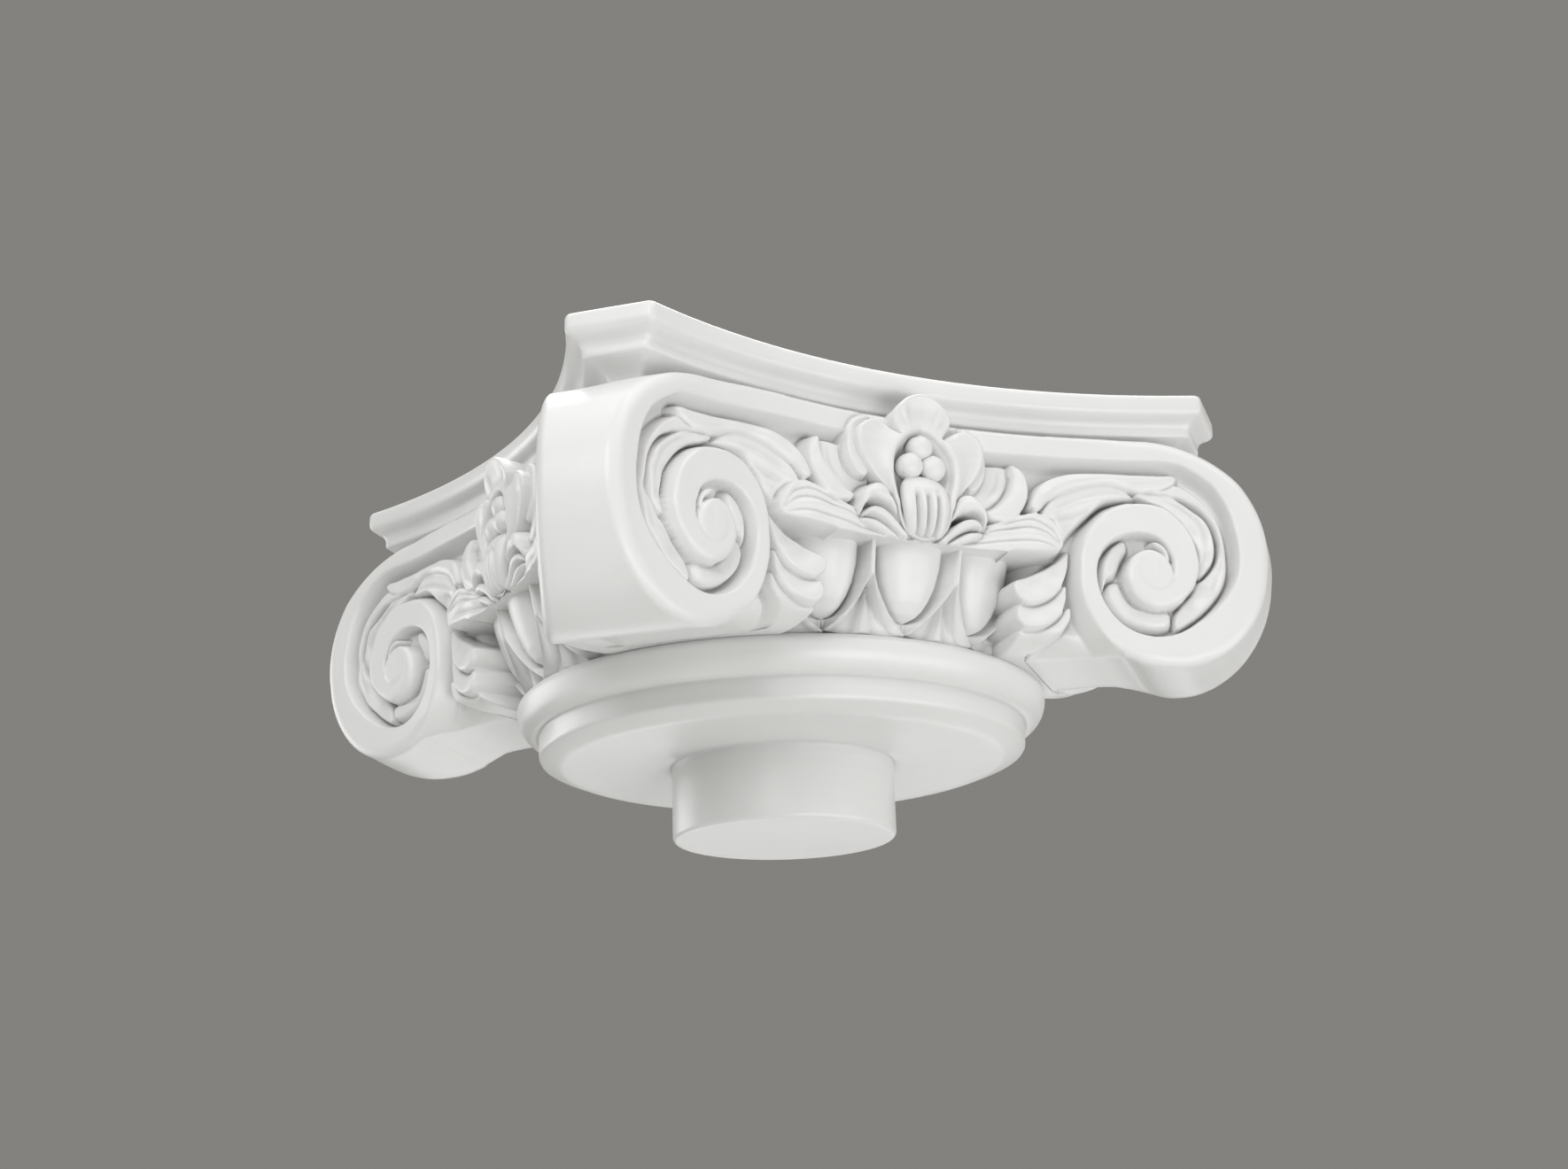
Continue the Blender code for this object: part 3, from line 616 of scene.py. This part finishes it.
def make_corner(relief):
    """Points and faces of the corner between two half faces, closed by its side and a hidden back."""
    outline, first, last, nose_to = corner_outline()
    count = len(outline)
    seeds = [Vector(point) for point in (*outline, *scatter(relief, outline))]
    loop = [(index, (index + 1) % count) for index in range(count)]
    flat, _, faces, *_ = delaunay_2d_cdt(seeds, loop, [], 1, 1e-5)
    flat = np.array([(p.x, p.y) for p in flat])
    fall = border_rounding(flat, outline[nose_to - 50:last + 1])
    near = face_xyz(flat[:, 0], flat[:, 1], relief.sample(flat) - fall)
    total = len(near)
    verts = [near, across_diagonal(near)]
    faces = list(faces) + [tuple(total + index for index in reversed(face)) for face in faces]

    # side between the two faces
    joined = np.arange(first, last + 1)
    width = len(joined)
    rows = [joined]
    for step in range(1, SIDE_STEPS):
        share = step / SIDE_STEPS
        verts.append(near[joined] * (1 - share) + across_diagonal(near[joined]) * share)
        rows.append(2 * total + (step - 1) * width + np.arange(width))
    rows.append(total + joined)
    for here, there in zip(rows, rows[1:]):
        for a, b, c, d in zip(here[1:], here, there, there[1:]):
            faces.append((a, b, c, d))

    # hidden back: the open border of each face steps back and runs in to one point
    start = 2 * total + (SIDE_STEPS - 1) * width
    border = np.arange(last, count + first + 1) % count
    size = len(border)
    edge = outline[border]
    falls = [relief.sample(edge) - step for step in BACK_FALLS] + [np.full(size, BACK_DEPTH)]
    layers = [(border, border + total)]
    for out in falls:
        layer = face_xyz(edge[:, 0], edge[:, 1], out)
        verts += [layer, across_diagonal(layer)]
        here, there = layers[-1]
        one = np.arange(start, start + size)
        for k in range(size - 1):
            faces.append((one[k], one[k + 1], here[k + 1], here[k]))
            faces.append((there[k], there[k + 1], one[k + 1] + size, one[k] + size))
        layers.append((one, one + size))
        start += 2 * size
    verts.append(np.array([BACK_POINT]))
    ends, heads = [row[-1] for row in rows[1:-1]], [row[0] for row in rows[1:-1]]
    loop = list(layers[-1][0]) + [one[-1] for one, _ in layers[-2::-1]] + heads
    loop += [two[-1] for _, two in layers[:-1]] + list(layers[-1][1][::-1])
    loop += [two[0] for _, two in layers[-2::-1]] + ends[::-1] + [one[0] for one, _ in layers[:-1]]
    for a, b in zip(loop, loop[1:] + loop[:1]):
        faces.append((b, a, start))
    return np.vstack(verts), faces


# The casting isn't quite even. The two half faces of each corner are moved (along, out, up) in
# millimetres and stretched (along, up) about the eye.
CORNER_SHIFTS = {
    "front_right": ((-1.2, 0, 0, 0.97, 1), (-3, 0, 0, 0.97, 1)),
    "back_right": ((0, 0, 2.5, 1, 0.93), (0, 0, 2.5, 1, 0.93)),
    "back_left": ((0, 0, -2, 1, 1), (-2.2, 0, -2, 1, 1)),
    "front_left": ((0.5, 7, -6.2, 1, 1), (-2.6, 0.6, -4.3, 1.08, 1.02)),
}


def cast_shift(points, label):
    """Move the volute end of a corner; the neck and the middle of each face stay."""
    x, y, z = points.T
    weight = smooth((x - y) / math.sqrt(2), 150, 205)
    part = smooth((-x - y) / math.sqrt(2), -16, 16)
    angle = EYE_OFFSET / FACE_RADIUS
    moved = points.copy()
    for second, (along, out, up, long, tall) in enumerate(CORNER_SHIFTS[label]):
        share = 1 - part if second else part
        tangent = np.array([math.cos(angle), -math.sin(angle), 0])
        normal = np.array([-math.sin(angle), -math.cos(angle), 0])
        eye = face_xyz(np.array(EYE_OFFSET), np.array(EYE_Z), np.array(0))
        if second:
            tangent, normal, eye = (across_diagonal(v) for v in (tangent, normal, eye))
        inplane = (points - eye) @ tangent
        shift = (along + (long - 1) * inplane)[:, None] * tangent + out * normal
        shift[:, 2] += up + (tall - 1) * (z - EYE_Z)
        moved += (weight * share)[:, None] * shift
    return moved


def lathe(name, profile, columns):
    """Closed turned solid from a profile that starts and ends on the axis."""
    profile = np.array(profile, float)
    angles = np.linspace(0, 2 * math.pi, columns, endpoint=False)
    radius, height = (np.repeat(values[:, None], columns, 1) for values in profile[1:-1].T)
    points = np.stack([radius * np.sin(angles), -radius * np.cos(angles), height], -1).reshape(-1, 3)
    faces = grid_faces(len(profile) - 2, columns, 0, True)
    close_ends(faces, columns, (len(profile) - 3) * columns, len(points), len(points) + 1)
    points = np.vstack([points, [[0, 0, profile[0][1]], [0, 0, profile[-1][1]]]])
    return make_mesh(name, points, faces)


def arc(centre, radii, start, end, steps):
    angles = np.radians(np.linspace(start, end, steps + 1))
    return [(centre[0] + radii[0] * math.cos(a), centre[1] + radii[1] * math.sin(a)) for a in angles]


def make_neck():
    """Tenon, flat seat, fillet and astragal. The belly runs in to the fillet and up to the eggs."""
    profile = [(0, 0), (12, 0), (30, 0), (46, 0), (TENON_RADIUS - 3.2, 0)]
    profile += arc((TENON_RADIUS - 2.2, 2.2), (2.2, 2.2), -90, 0, 5)
    profile += [(TENON_RADIUS, 8), (TENON_RADIUS, 20), (TENON_RADIUS, 31)]
    profile += [(TENON_RADIUS + 0.1, 35.2), (TENON_RADIUS + 0.5, 36.1), (TENON_RADIUS + 1.4, SEAT_Z)]
    profile += [(60, SEAT_Z), (74, SEAT_Z), (92, SEAT_Z), (104, SEAT_Z), (SEAT_RADIUS - 1.4, SEAT_Z)]
    profile += [(SEAT_RADIUS, 36.8), (SEAT_RADIUS + 2, 37.5), (115, 39), (118.2, 40.2)]
    profile += [(119.3, 40.8), (119.9, 41.8), (120, 43.2), (120, 46.5), (120, 49.6)]
    profile += [(120.1, 50.6), (120.6, 51.2), (121.6, 51.5)]
    root = FILLET_RADIUS + 0.6
    profile += arc((root, ASTRAGAL_BELLY_Z), (ASTRAGAL_RADIUS - root, 12.4), -82, 0, 12)
    profile += arc((root, ASTRAGAL_BELLY_Z), (ASTRAGAL_RADIUS - root, 6.1), 0, 90, 10)[1:]
    profile += [(112, 72), (60, 74), (0, 74)]
    return lathe("neck", profile, 256)


# Eggs and darts by height: half width and swell of an egg, place of the ridge beside it, height of
# that ridge and half width of the spear between two eggs
EGG_WIDTH = ((76.4, 0.05), (77, 2.6), (78.6, 5.4), (81.5, 8.5), (86, 11.4), (92, 13.9), (100, 15.5),
             (111, 16), (125, 15))
EGG_DEPTH = ((76.4, 0.5), (79, 3), (84, 5.6), (92, 7.6), (104, 8.6), (114, 8.2))
RIDGE_PLACE = ((70.6, 0.3), (71.6, 2), (74, 6), (78, 10.6), (83, 14.6), (88, 17.8), (94, 20.2),
               (125, 20.2))
CREST_HEIGHT = ((70, 4.6), (76, 7.2), (84, 10.2), (94, 13), (111, 12.6))
SPEAR_WIDTH = ((70, 5.4), (72.5, 5.2), (79, 3.4), (87, 1), (90, 0))
EGG_STEPS, GAP_STEPS, BAND_STEPS, DART_STEPS = 12, 3, 9, 7
EGG_RADIUS = 133.0
EGG_CORE_RADIUS = 112


def egg_section(height):
    """Half of one egg at a height: places across it and how far each stands out."""
    half = math.pi * EGG_RADIUS / EGG_COUNT
    base = 121.4 + (height - 70) * 0.26
    egg = float(by_turn(EGG_WIDTH, height))
    ridge = min(float(by_turn(RIDGE_PLACE, height)), half - 0.7)
    edge = min(egg + 1.1, max(ridge - 1.2, egg * 0.5 + 0.1))
    crest = float(by_turn(CREST_HEIGHT, height))
    depth = float(by_turn(EGG_DEPTH, height))
    rim = 3.0 * min(1, egg / 6)
    across, out = [], []
    for step in range(EGG_STEPS + 1):
        share = math.sin(math.pi / 2 * step / EGG_STEPS)
        across.append(egg * share)
        out.append(base + rim + depth * math.sqrt(1 - share ** 2.1))
    for step in range(1, GAP_STEPS + 1):
        across.append(egg + (edge - egg) * step / GAP_STEPS)
        out.append(base - 2.2 if egg > 0.1 else base + 0.4)
    for step in range(1, BAND_STEPS + 1):
        share = step / BAND_STEPS
        across.append(edge + (ridge - edge) * share)
        out.append(base + 0.2 + (crest - 0.2) * share ** 1.5 - 0.35 * (step == BAND_STEPS))
    spear_half = float(by_turn(SPEAR_WIDTH, height))
    for step in range(1, DART_STEPS + 1):
        share = step / DART_STEPS
        place = ridge + (half - ridge) * share
        across.append(place)
        apart = min(1, max(0, (half - ridge - 0.8) / 1.2))
        fall = base - 0.8 + (crest + 0.4) * max(0, 1 - apart * (place - ridge) / 2.4) ** 1.2
        spear = base - 0.8 + 4.4 * max(0, 1 - (half - place) / max(spear_half, 0.01)) ** 0.9
        out.append(max(fall, spear if spear_half > 0.05 else -1))
    return np.array(across) / EGG_RADIUS, np.array(out)


def make_eggs():
    fine = 0.62
    rings = []
    for height in np.concatenate([np.arange(70.6, 96, fine), np.arange(96, 116, fine * 2.2)]):
        place, out = egg_section(height)
        place = np.concatenate([-place[:0:-1], place[:-1]])
        out = np.concatenate([out[:0:-1], out[:-1]])
        angles = np.concatenate([place + 2 * math.pi * egg / EGG_COUNT for egg in range(EGG_COUNT)])
        radius = np.tile(out, EGG_COUNT)
        rings.append(np.column_stack([radius * np.sin(angles), -radius * np.cos(angles),
                                      np.full(len(angles), height)]))
    count = len(rings[0])
    angles = np.linspace(0, 2 * math.pi, count, endpoint=False)
    circle = np.column_stack([EGG_CORE_RADIUS * np.sin(angles), -EGG_CORE_RADIUS * np.cos(angles)])
    below, above = (np.column_stack([circle, np.full(count, height)]) for height in (69.4, 117))
    rings = [below] + rings + [above]
    points = np.vstack(rings + [[[0, 0, 69]], [[0, 0, 117.4]]])
    faces = grid_faces(len(rings), count, 0, True)
    close_ends(faces, count, (len(rings) - 1) * count, len(points) - 2, len(points) - 1)
    return make_mesh("egg_and_dart", points, faces)


# Abacus

def hollow_plan(inset, steps, rounding):
    """Plan of the abacus moved in from its face, with softened horn edges."""
    radius = SIDE_RADIUS + inset
    reach = HORN_DIAGONAL - inset
    end = math.pi / 4 + math.asin((reach - ARC_CENTRE / math.sqrt(2)) / radius)
    angles = [end * (2 * step / steps - 1) for step in range(steps + 1)]
    side = np.array([(radius * math.sin(a), radius * math.cos(a) - ARC_CENTRE) for a in angles])
    plan = np.vstack([turned(side, quarter) for quarter in range(4)])
    count = steps + 1
    softened = []
    for index, point in enumerate(plan):
        place = index % count
        corner = plan[(index + 1) % len(plan)]
        if place not in (0, count - 1):
            softened.append(point)
            continue
        start, finish = (point + (other - point) / np.linalg.norm(other - point) * rounding
                         for other in (plan[index - 1], corner))
        for t in (0, 0.25, 0.5, 0.75, 1):
            softened.append((1 - t) ** 2 * start + 2 * t * (1 - t) * point + t * t * finish)
        if place == count - 1:
            target = corner + (point - corner) / np.linalg.norm(point - corner) * rounding
            softened += [finish + (target - finish) * share for share in (0.25, 0.5, 0.75)]
    return np.array(softened)


# Moulding of the abacus as (inset from its face, height), from the middle of its top downwards
ABACUS_PROFILE = ((16, TOP_Z), (3.4, TOP_Z), (2.2, TOP_Z - 0.1), (1.2, TOP_Z - 0.5), (0.5, TOP_Z - 1.2),
                  (0.1, TOP_Z - 2.2), (0, TOP_Z - 3.4), (0, 189), (0, 186.6), (0.15, 185.2),
                  (0.7, 184), (1.8, 183), (3.2, 182.3), (4.6, 181.6), (5.8, 180.7), (6.6, 179.6),
                  (7, 178.6), (7.2, 178), (7.3, 177.2), (7.3, 175.4), (7.4, 174.6), (7.9, 174.1),
                  (9.2, 173.8), (11.4, 173.2), (13.8, 172), (16, 170.2), (17.6, 168), (18.4, 165.6),
                  (18.8, 162), (18.8, 152))
HORN_ROUNDING = 2.4


def make_abacus():
    rings = []
    for inset, height in ABACUS_PROFILE:
        plan = hollow_plan(inset, 72, HORN_ROUNDING)
        rings.append(np.column_stack([plan, np.full(len(plan), height)]))
    columns = len(rings[0])
    points = np.vstack(rings)
    faces = grid_faces(len(rings), columns, 0, True)
    faces.append(list(range(columns))[::-1])
    faces.append(list(range(len(points) - columns, len(points))))
    return make_mesh("abacus", points, faces)


# Flower of the fleuron, built as closed bent lobes

SLOT_DEPTH = 4.6


def bend(points, share):
    """Point of a Bezier curve."""
    points = [np.array(point, float) for point in points]
    while len(points) > 1:
        points = [a + (b - a) * share for a, b in zip(points, points[1:])]
    return points[0]


def lobe(route, widths, front, back, around=20, along=26, power=0.5, slots=()):
    """Closed lobe along a route of (along, up, out), with long slots cut into its front."""
    rings = []
    stations = [(1 - math.cos(math.pi * step / along)) / 2 for step in range(along + 1)]
    grid = np.linspace(0, 1, len(widths))
    for share in stations[1:-1]:
        here = bend(route, share)
        ahead, behind = bend(route, min(1, share + 0.02)), bend(route, max(0, share - 0.02))
        centre = face_xyz(*here)
        tangent = face_xyz(*ahead) - face_xyz(*behind)
        tangent /= np.linalg.norm(tangent)
        outward = face_xyz(here[0], here[1], here[2] + 1) - centre
        outward -= tangent * outward.dot(tangent)
        outward /= np.linalg.norm(outward)
        sideways = np.cross(tangent, outward)
        width = np.interp(share, grid, widths)
        fade = (4 * share * (1 - share)) ** 0.5
        ring = []
        for step in range(around):
            angle = 2 * math.pi * step / around
            v, w = math.cos(angle), math.sin(angle)
            thick = front if w > 0 else back
            sink = 0.0
            for middle, half in slots:
                opened = smooth(np.array(share), 0.30, 0.42) * (1 - 0.5 * smooth(np.array(share), 0.6, 1))
                sink += SLOT_DEPTH * opened * math.exp(-((v - middle) * width / half) ** 2) * (w > 0)
            ring.append(centre + sideways * (v * width)
                        + outward * (math.copysign(abs(w) ** 0.9, w) * thick * fade ** power - sink))
        rings.append(ring)
    points = np.array(rings).reshape(-1, 3)
    faces = grid_faces(len(rings), around, 0, True)
    close_ends(faces, around, (len(rings) - 1) * around, len(points), len(points) + 1)
    return np.vstack([points, face_xyz(*route[0])[None], face_xyz(*route[-1])[None]]), faces


# Petals by degrees from the upper petal's middle: distance from the flower's centre and height, of
# their outer edge and of the cup's rim
PETAL_EDGE = ((0, 29.6, 12), (8, 29.4, 12), (16, 28.6, 11.6), (26, 26.9, 10.8), (34, 25.4, 10),
              (41, 23.4, 8.6), (45, 19.6, 5.6), (47.5, 16.6, 3.4), (50, 20.5, 4.4), (53, 26, 6),
              (57, 29.4, 7), (64, 32.4, 7.4), (72, 34.4, 7.2), (80, 34, 6.6), (90, 32.2, 6.2),
              (101, 29.4, 6), (114, 26.6, 5.8), (127, 25, 6.4), (140, 25.4, 7.2), (150, 29, 7.4),
              (158, 33.6, 6.8), (166, 36.6, 5.8), (180, 37.6, 5))
PETAL_RIM = ((0, 13.4, 8.2), (20, 12.6, 8.8), (45, 12.2, 9.2), (64, 13, 9.6), (80, 14.2, 9.8),
             (95, 15.6, 9.8), (110, 17, 9.6), (125, 19, 9), (138, 21.4, 8.6), (150, 25, 8.2),
             (158, 29.6, 7.2), (166, 33, 6), (180, 34.4, 5.2))
PETAL_HOLLOW = ((0, 1.3), (30, 1), (47, 0.2), (60, 1.5), (80, 2.2), (110, 1.6), (150, 0.2))
LIP_SHARE = 1.16
FLOWER_HEIGHT = 148.0


def corolla():
    """One closed form of three joined petals round an open cup, as rings about its centre."""
    turns = 300
    angles = np.linspace(0, 360, turns, endpoint=False)
    fold = np.minimum(angles, 360 - angles)
    edge, edge_out = (np.interp(fold, *zip(*[(row[0], row[k]) for row in PETAL_EDGE])) for k in (1, 2))
    rim, rim_out = (np.interp(fold, *zip(*[(row[0], row[k]) for row in PETAL_RIM])) for k in (1, 2))
    for values in (edge, edge_out, rim, rim_out):
        values[:] = (np.roll(values, 1) + 2 * values + np.roll(values, -1)) / 4
    rings = []
    for share in (0.12, 0.3, 0.5, 0.68, 0.80, 0.88, 0.93, 0.97):
        rise = smooth(np.array(share), 0.66, 1.02)
        rings.append((rim * share, 0.5 + 0 * rim + (rim_out - 3.4) * rise))
    for share, drop in ((0.99, 2), (1.01, 1.2), (1.05, 0.45), (1.10, 0.1), (LIP_SHARE, 0)):
        rings.append((rim * share, rim_out - drop))
    width = edge - rim * LIP_SHARE
    hollow = by_turn(PETAL_HOLLOW, fold)
    for share in np.linspace(0.1, 0.9, 11):
        level = rim_out + (edge_out - rim_out) * smooth(np.array(share), -0.1, 1.1)
        level = level - hollow * math.sin(math.pi * share) ** 1.2
        crease = np.exp(-((fold - 25) / 4.5) ** 2) * 0.9 * math.sin(math.pi * share)
        rings.append((rim * LIP_SHARE + width * share, level + crease))
    for share, drop in ((0.95, 0.1), (0.98, 0.45), (1, 1), (1.012, 1.8), (1.015, 2.8), (1, 4.6),
                        (0.97, 7), (0.93, 10), (0.90, 14), (0.88, 18)):
        rings.append((rim * LIP_SHARE + width * share, edge_out - drop))
    points = []
    for radius, out in rings:
        angle = np.radians(angles)
        points.append(face_xyz(radius * np.sin(angle), FLOWER_HEIGHT + radius * np.cos(angle), out))
    faces = grid_faces(len(points), turns, 0, True)
    points = np.vstack(points)
    count = len(points)
    close_ends(faces, turns, count - turns, count, count + 1)
    middle = face_xyz(np.zeros(2), np.full(2, FLOWER_HEIGHT), np.array([0.5, -14]))
    return np.vstack([points, middle]), [face[::-1] for face in faces]


BERRY_WIDTHS = [0, 4.2, 5.6, 6.2, 6.2, 5.6, 4.2, 0]
TOP_BERRY_WIDTHS = [0, 4.2, 5.6, 6, 6, 5.6, 4.2, 0]


def flower_lobes():
    """Bell and berries of one fleuron."""
    berry = dict(around=36, along=26, power=1.0)
    shapes = [dict(route=[(0, 138, 3), (0, 134, 8.6), (0, 124, 10.8), (0, 116, 9.4), (0, 111, 5)],
                   widths=[7.5, 10.8, 11.8, 11.8, 11, 9.8, 8.8], front=5.0, back=9, around=96, along=60,
                   power=0.6, slots=((-0.46, 1.3), (0, 1.4), (0.46, 1.3)))]
    for side in (-1, 1):
        shapes.append(dict(route=[(side * 6, 137.4, 5.5), (side * 6, 150.2, 5.5)], widths=BERRY_WIDTHS,
                           front=6.2, back=7.0, **berry))
    shapes.append(dict(route=[(0, 147.2, 4.6), (0, 159.4, 5.4)], widths=TOP_BERRY_WIDTHS,
                       front=5.8, back=7, **berry))
    return shapes


def make_flower(name, quarter):
    points, faces = corolla()
    points = [points]
    shift = len(points[0])
    for shape in flower_lobes():
        more, more_faces = lobe(**shape)
        points.append(more)
        faces += [tuple(shift + index for index in face) for face in more_faces]
        shift += len(more)
    return make_mesh(name, turned(np.vstack(points), quarter), faces)


# Materials

def new_material(name):
    material = bpy.data.materials.new(name)
    material.use_nodes = True
    return material, material.node_tree, material.node_tree.nodes["Principled BSDF"]


def add_node(tree, kind, inputs, source=None, port=0, **settings):
    """Node with some inputs set, fed from another node's output."""
    node = tree.nodes.new("ShaderNode" + kind)
    for key, value in settings.items():
        setattr(node, key, value)
    for key, value in inputs.items():
        node.inputs[key].default_value = value
    if source:
        tree.links.new(source, node.inputs[port])
    return node


def add_tones(tree, source, dark, light):
    """Colour ramp between two (place, colour) ends."""
    node = add_node(tree, "ValToRGB", {}, source, "Fac")
    for element, (place, colour) in zip(node.color_ramp.elements, (dark, light)):
        element.position, element.color = place, (*colour, 1)
    return node.outputs["Color"]


def plaster_material():
    """White satin plaster: soft clouds, painted shade darkening the hollows, patches of gloss, and a fine
    grain.
    """
    material, tree, shader = new_material("cast_plaster")
    link = tree.links.new
    shader.inputs["Metallic"].default_value = 0.0
    shader.inputs["IOR"].default_value = 1.5
    place = tree.nodes.new("ShaderNodeTexCoord").outputs["Object"]
    clouds, patches, ripple, grain = (
        add_node(tree, "TexNoise", {"Scale": scale, "Detail": detail, "Roughness": rough}, place,
                 "Vector").outputs["Fac"]
        for scale, detail, rough in ((9.0, 4.0, 0.55), (26.0, 3.0, 0.5), (45.0, 3.0, 0.5), (700.0, 2.0, 0.6)))

    tones = add_tones(tree, clouds, (0.30, (0.765, 0.765, 0.760)), (0.72, (0.800, 0.800, 0.795)))
    # Painted shade: the pointiness darkens the base colour in hollows and creases, standing in for the shade
    # that falls there.
    painted_hollow_shade = add_node(tree, "MapRange", {"From Min": 0.40, "From Max": 0.50, "To Min": 0.62, "To Max": 1.0},
                       tree.nodes.new("ShaderNodeNewGeometry").outputs["Pointiness"], "Value")
    shade = add_node(tree, "Mix", {"Factor": 1.0}, data_type="RGBA", blend_type="MULTIPLY")
    link(tones, shade.inputs["A"])
    link(painted_hollow_shade.outputs["Result"], shade.inputs["B"])
    link(shade.outputs["Result"], shader.inputs["Base Color"])

    gloss = add_node(tree, "MapRange", {"To Min": 0.26, "To Max": 0.40}, patches, "Value")
    link(gloss.outputs["Result"], shader.inputs["Roughness"])

    relief = add_node(tree, "Math", {1: 0.06}, grain, 0, operation="MULTIPLY_ADD")
    link(ripple, relief.inputs[2])
    bump = add_node(tree, "Bump", {"Strength": 0.25, "Distance": 0.0012}, relief.outputs["Value"], "Height")
    link(bump.outputs["Normal"], shader.inputs["Normal"])
    return material


def stage_material():
    material, tree, shader = new_material("studio_floor")
    clouds = add_node(tree, "TexNoise", {"Scale": 1.5}).outputs["Fac"]
    tones = add_tones(tree, clouds, (0.0, (0.60, 0.60, 0.59)), (1.0, (0.64, 0.64, 0.63)))
    tree.links.new(tones, shader.inputs["Base Color"])
    shader.inputs["Roughness"].default_value = 0.8
    return material


# Camera, lights and stage

# Camera fitted to the photo: focal length and image width in pixels, place in mm, angles in radians
FOCAL, PHOTO_WIDTH, SENSOR = 2637.44, 1770, 36
CAMERA_PLACE = (-511.121, -1008.632, -219.978)
YAW, PITCH_UP, ROLL = 0.472, 0.301, -0.030


def add_camera():
    forward = Vector((math.sin(YAW) * math.cos(PITCH_UP), math.cos(YAW) * math.cos(PITCH_UP),
                      math.sin(PITCH_UP)))
    level = Vector((math.cos(YAW), -math.sin(YAW), 0))
    rise = level.cross(forward)
    right = level * math.cos(ROLL) + rise * math.sin(ROLL)
    up = -level * math.sin(ROLL) + rise * math.cos(ROLL)
    data = bpy.data.cameras.new("camera")
    data.sensor_width = SENSOR
    data.lens = FOCAL / PHOTO_WIDTH * SENSOR
    data.clip_start = 0.01
    camera = bpy.data.objects.new("camera", data)
    rows = zip(right, up, -forward, CAMERA_PLACE)
    camera.matrix_world = Matrix([(*row, place * MM) for *row, place in rows] + [(0, 0, 0, 1)])
    bpy.context.scene.collection.objects.link(camera)
    bpy.context.scene.camera = camera


FLOOR_HALF, FLOOR_LEVEL = 6, -1.1
BACKDROP = (0.226, 0.222, 0.209, 1)


def add_stage():
    mesh = bpy.data.meshes.new("studio_floor")
    corners = ((-FLOOR_HALF, -FLOOR_HALF), (FLOOR_HALF, -FLOOR_HALF), (FLOOR_HALF, FLOOR_HALF),
               (-FLOOR_HALF, FLOOR_HALF))
    mesh.from_pydata([(x, y, FLOOR_LEVEL) for x, y in corners], [], [(0, 1, 2, 3)])
    floor = bpy.data.objects.new("studio_floor", mesh)
    floor.data.materials.append(stage_material())
    bpy.context.scene.collection.objects.link(floor)
    world = bpy.context.scene.world or bpy.data.worlds.new("studio")
    bpy.context.scene.world = world
    world.use_nodes = True
    background = world.node_tree.nodes["Background"]
    background.inputs["Color"].default_value = BACKDROP
    background.inputs["Strength"].default_value = 1.0
    bpy.context.scene.view_settings.view_transform = "Standard"


# Soft square lights as (name, place, side, power), all turned to the capital
LIGHTS = (
    ("behind_high", (0.522, 1.022, 1.758), 1.4, 24.5),
    ("front_left", (-1.259, -1.396, 0.804), 1, 14.4),
    ("left_high", (-1.146, -0.059, 1.758), 1.2, 6.4),
    ("left", (-1.788, -0.579, 0.804), 1, 3.6),
    ("behind_left", (-1.088, 1.678, 0.12), 1.2, 13.2),
    ("overhead", (-0.032, -0.062, 2.119), 1.6, 10.4),
    ("right_high", (0.624, -0.963, 1.758), 1.2, 8.8),
    ("right", (1.997, 0.103, 0.12), 1.2, 2.4),
    ("front_low", (0.089, -1.730, -0.88), 1, 14.2),
    ("right_low", (1.235, -1.327, -0.725), 1, 8.8),
    ("behind_low", (0.745, 1.459, -1.027), 1.4, 8),
)


LIGHT_TARGET = (0, 0, 0.12)


def add_lights():
    for name, place, side, power in LIGHTS:
        data = bpy.data.lights.new(name, "AREA")
        data.shape = "RECTANGLE"
        data.size = data.size_y = side
        data.energy = power
        light = bpy.data.objects.new(name, data)
        light.location = place
        light.rotation_euler = (Vector(LIGHT_TARGET) - Vector(place)).to_track_quat("-Z", "Y").to_euler()
        bpy.context.scene.collection.objects.link(light)


def main():
    relief = draw_relief()
    corner, corner_faces = make_corner(relief)
    pieces = []
    for quarter, label in enumerate(("front_right", "back_right", "back_left", "front_left")):
        pieces.append(make_mesh("corner_" + label, turned(cast_shift(corner, label), quarter), corner_faces))
    for quarter, label in enumerate(("front", "right", "back", "left")):
        pieces.append(make_flower("fleuron_" + label, quarter))
    pieces += [make_neck(), make_eggs(), make_abacus()]
    material = plaster_material()
    for piece in pieces:
        piece.data.materials.append(material)
        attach(piece, "root")
        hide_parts("capital")
    add_stage()
    add_camera()
    add_lights()


main()
